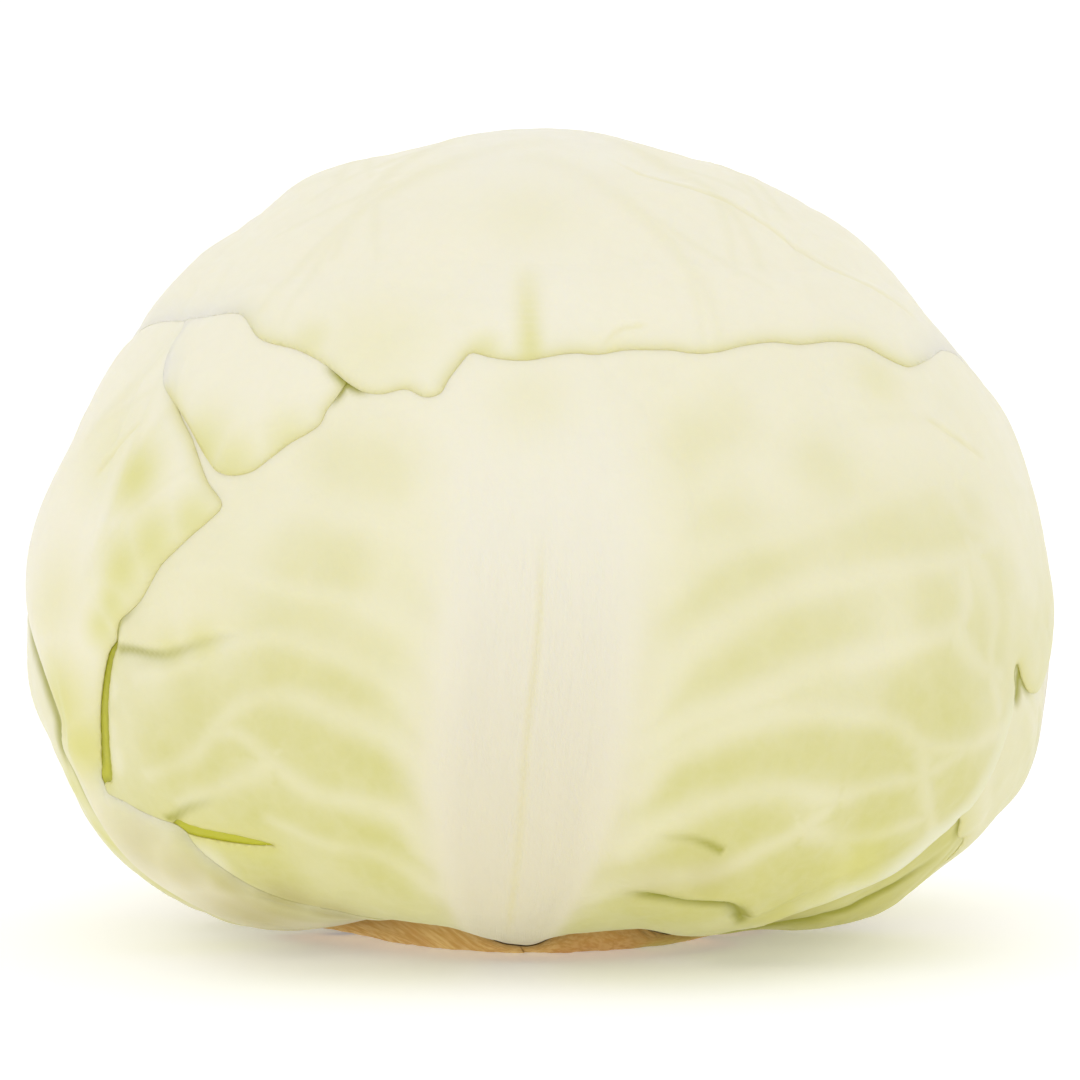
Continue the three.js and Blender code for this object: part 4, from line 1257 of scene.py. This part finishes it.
class Underside:
    """How high the head's underside is above any place on the floor."""

    def __init__(self, top):
        low = np.flatnonzero(EVERY[:, 2] < -0.45)
        self.places = MIDDLE + EVERY[low] * top[low, None]
        self.tree = KDTree(len(low))
        for i, p in enumerate(self.places.tolist()):
            self.tree.insert((p[0], p[1], 0), i)
        self.tree.balance()

    def height(self, x, y):
        heights = []
        for a, b in zip(x.tolist(), y.tolist()):
            found = self.tree.find_n((a, b, 0), 4)
            weight = np.array([1 / (f[2] + 0.05) for f in found])
            heights.append(float(weight @ self.places[[f[1] for f in found], 2] / weight.sum()))
        return np.array(heights)


def slab_faces(across, out):
    """The faces of a closed slab whose bottom and top are grids of points, one after the other."""
    half = across * out
    index = np.arange(half).reshape(across, out)
    faces = []
    for i in range(across - 1):
        for k in range(out - 1):
            a, b, c, d = index[i, k], index[i + 1, k], index[i + 1, k + 1], index[i, k + 1]
            faces += [(a, b, c), (a, c, d), (a + half, c + half, b + half), (a + half, d + half, c + half)]
    edge = list(index[:, 0]) + list(index[-1, 1:]) + list(index[-2::-1, -1]) + list(index[0, -2:0:-1])
    for a, b in zip(edge, edge[1:] + edge[:1]):
        faces += [(b, a, a + half), (b, a + half, b + half)]
    return np.array(faces)


def stub_looks(u, v, free_end, spotted, fresh):
    """How dry, spotted and fresh a stub is, from u = -1 at its first end to 1, and from v = 0 outwards."""
    right_half = smoothstep(u, -0.2, 0.15) * (1 - smoothstep(u, 0.4, 0.7))
    left_half = smoothstep(u, -0.9, -0.6) * (1 - smoothstep(u, -0.1, 0.15))
    dry = 0.12 + 0.5 * smoothstep(np.abs(u), 0.88, 1) * free_end
    dry = np.maximum(dry, 0.55 * left_half * fresh)
    spot = np.exp(-((u + 0.86) ** 2 * 140 + (v - 0.8) ** 2 * 30)) * spotted
    return {"dry": np.concatenate([dry, np.maximum(dry, 0.75)]), "spot": np.tile(spot, 2),
            "fresh": np.tile(right_half * fresh, 2)}


def stub_piece(name, underside, longitude, spread, reach, seed, longer=0.0, joined=0, spotted=False,
               fresh=False):
    """The torn base of a trimmed leaf: a crescent against the stem, ragged and dry at its rim."""
    u, v = np.meshgrid(np.linspace(-1, 1, STUB_ACROSS), np.linspace(0, 1, STUB_OUT), indexing="ij")
    u, v = u.ravel(), v.ravel()
    bend = np.radians(longitude - 90 + spread * u)
    ragged = noise(np.stack([u * spread / 6, 0 * u, 0 * u], 1), 1, seed)
    ragged += 0.5 * noise(np.stack([u * spread / 2.2, 0 * u, 0 * u], 1), 1, seed + 1)
    fibre = noise(np.stack([u * spread / 1.7, v * 1.5, 0 * u], 1), 1, seed + 2)
    free_end = u * joined <= 0
    inner = STEM_RADIUS + 0.45
    reach = reach + longer * np.maximum(0, -u) ** 2
    rim = inner + (reach - inner) * (1 - 0.8 * np.abs(u) ** 20 * free_end) + 0.45 * ragged
    radius = inner + (np.maximum(rim, inner + 2) - inner) * v
    wide = radius + STUB_FLARE * v ** 2 * (1 - u ** 8 * free_end)
    x, y, wide_x, wide_y = (r * turn(bend) for r in (radius, wide) for turn in (np.cos, np.sin))
    ceiling = underside.height(wide_x, wide_y) - 0.12
    bottom = 0.08 + 0.06 * noise(np.stack([x, y, 0 * x], axis=1), 3, seed + 3)
    bottom = bottom + 0.1 * fibre * smoothstep(v, 0.1, 0.5)
    bottom += (0.4 + 0.2 * ragged) * smoothstep(v, 0.92, 1.05) + 0.3 * np.maximum(radius - 30, 0) ** 0.75
    bottom = np.maximum(bottom, 0.02)
    top = np.maximum(ceiling - 0.1 * smoothstep(v, 0.6, 1), bottom + STUB_THINNEST)
    bottom = np.minimum(bottom, np.maximum(underside.height(x, y) - 0.9, 0.02))
    points = np.vstack([np.stack([x, y, bottom], 1), np.stack([wide_x, wide_y, top], 1)])
    return make_mesh(name + "_torn", points, slab_faces(STUB_ACROSS, STUB_OUT),
                     stub_looks(u, v, free_end, spotted, fresh))


# ---------------------------------------------------------------- the head put together

def forms_of(d):
    """How much the whole head swells or sinks at each direction."""
    swell = 0.6 * layered_noise(d * BLADE_RADIUS, 34, 77, 2)
    for place, reach, height in FORMS:
        apart = np.linalg.norm(d - direction(place), axis=1) * BLADE_RADIUS
        swell += height * np.exp(-(apart / reach) ** 2)
    return swell


def dress(piece, node, material=None):
    """Gives a piece its place in the model: the node it stands for, its body and its material."""
    if material is not None:
        piece.data.materials.clear()
        piece.data.materials.append(material)
    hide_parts(node)
    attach(piece, "root")


def build_leaves():
    """All leaves on the head; gives how high the heart is at every direction, and the outermost leaf."""
    pile = pile_up()
    base = outline_radius(EVERY) - deepest_mean(pile) + forms_of(EVERY)
    relief = skin_tree()
    top = base.copy()
    for leaf in LEAVES:
        look_at_leaf(leaf)
        top = np.where(leaf.outside < 0, np.maximum(top, base + leaf.high), top)
        piece = run_tree(leaf_piece(leaf, base), relief, {
            "Blister Size": 0.006, "Blister Height": 0.00012, "Net Size": 0.0042, "Net Height": 0.00003,
            "Seed": float(leaf.seed), "Material": leaf_material(leaf.name)})
        dress(piece, leaf.name)
    return base, top


def build_core(base, top):
    """The heart, the stem and the stubs, in the room that the leaves leave them."""
    dress(heart_piece(base), "heart", leaf_material("heart_leaf"))
    dress(stem_piece(flesh_material()), "cut_stem")
    underside, material = Underside(top), stub_material()
    for name, stub in STUBS.items():
        dress(stub_piece(name, underside, **stub), name, material)


# ---------------------------------------------------------------- floor, light and camera

# The studio, in metres. The floor is a strip that curves up behind: how far back and how high it goes.
FLOOR_PROFILE = [(-3, 0), (3.0, 0), (3.6, 0.12), (4.0, 0.45), (4.2, 1.0), (4.2, 6.0)]
FLOOR_HALF_WIDTH = 6
FLOOR_GLOW = 0.25
ROOM_LIGHT = 0.9
LAMPS = [
    ("lamp_above", (0.0, -0.3, 1.6), 1.6, 2.0),
    ("lamp_front", (-0.3, -1.6, 0.35), 1.2, 2.3),
]
LAMP_TARGET = Vector((0, 0, 0.06))

def floor_and_light():
    """A plain white floor that curves up behind, a white room and large soft lamps."""
    corners = [(x, y, z) for y, z in FLOOR_PROFILE for x in (-FLOOR_HALF_WIDTH, FLOOR_HALF_WIDTH)]
    faces = [(2 * i, 2 * i + 1, 2 * i + 3, 2 * i + 2) for i in range(len(FLOOR_PROFILE) - 1)]
    mesh = bpy.data.meshes.new("studio_floor")
    mesh.from_pydata(corners, [], faces)
    mesh.shade_smooth()
    floor = bpy.data.objects.new("studio_floor", mesh)
    bpy.context.scene.collection.objects.link(floor)
    n = Nodes("studio paper")
    paper = n.mix(n.lumps(n.place(), 3.0), shade(240, 240, 240), shade(242, 242, 242))
    mesh.materials.append(n.skin(paper, 0.9, glow=FLOOR_GLOW))
    world = bpy.data.worlds.new("studio room")
    bpy.context.scene.world = world
    world.use_nodes = True
    world.node_tree.nodes["Background"].inputs["Color"].default_value = (1, 1, 1, 1)
    world.node_tree.nodes["Background"].inputs["Strength"].default_value = ROOM_LIGHT
    for name, place, size, power in LAMPS:
        lamp = bpy.data.lights.new(name, "AREA")
        lamp.shape, lamp.size, lamp.energy = "DISK", size, power
        holder = bpy.data.objects.new(name, lamp)
        holder.location = place
        holder.rotation_euler = (LAMP_TARGET - Vector(place)).to_track_quat("-Z", "Y").to_euler()
        bpy.context.scene.collection.objects.link(holder)


CAMERA_TARGET = Vector((0, 0, 0.065))
CAMERA_DISTANCE = 1.1
CAMERA_RISE = math.radians(5)
CAMERA_LENS = 220.44
CAMERA_SENSOR = 36


def camera():
    """A long lens a little above the middle of the front."""
    view = bpy.data.cameras.new("studio_camera")
    view.sensor_width, view.lens = CAMERA_SENSOR, CAMERA_LENS
    view.clip_start, view.clip_end = 0.05, 20
    holder = bpy.data.objects.new("studio_camera", view)
    back = Vector((0, -math.cos(CAMERA_RISE), math.sin(CAMERA_RISE))) * CAMERA_DISTANCE
    holder.location = CAMERA_TARGET + back
    holder.rotation_euler = (-back).to_track_quat("-Z", "Y").to_euler()
    bpy.context.scene.collection.objects.link(holder)
    bpy.context.scene.camera = holder


build_core(*build_leaves())
floor_and_light()
camera()
bpy.context.scene.view_settings.view_transform = "Standard"
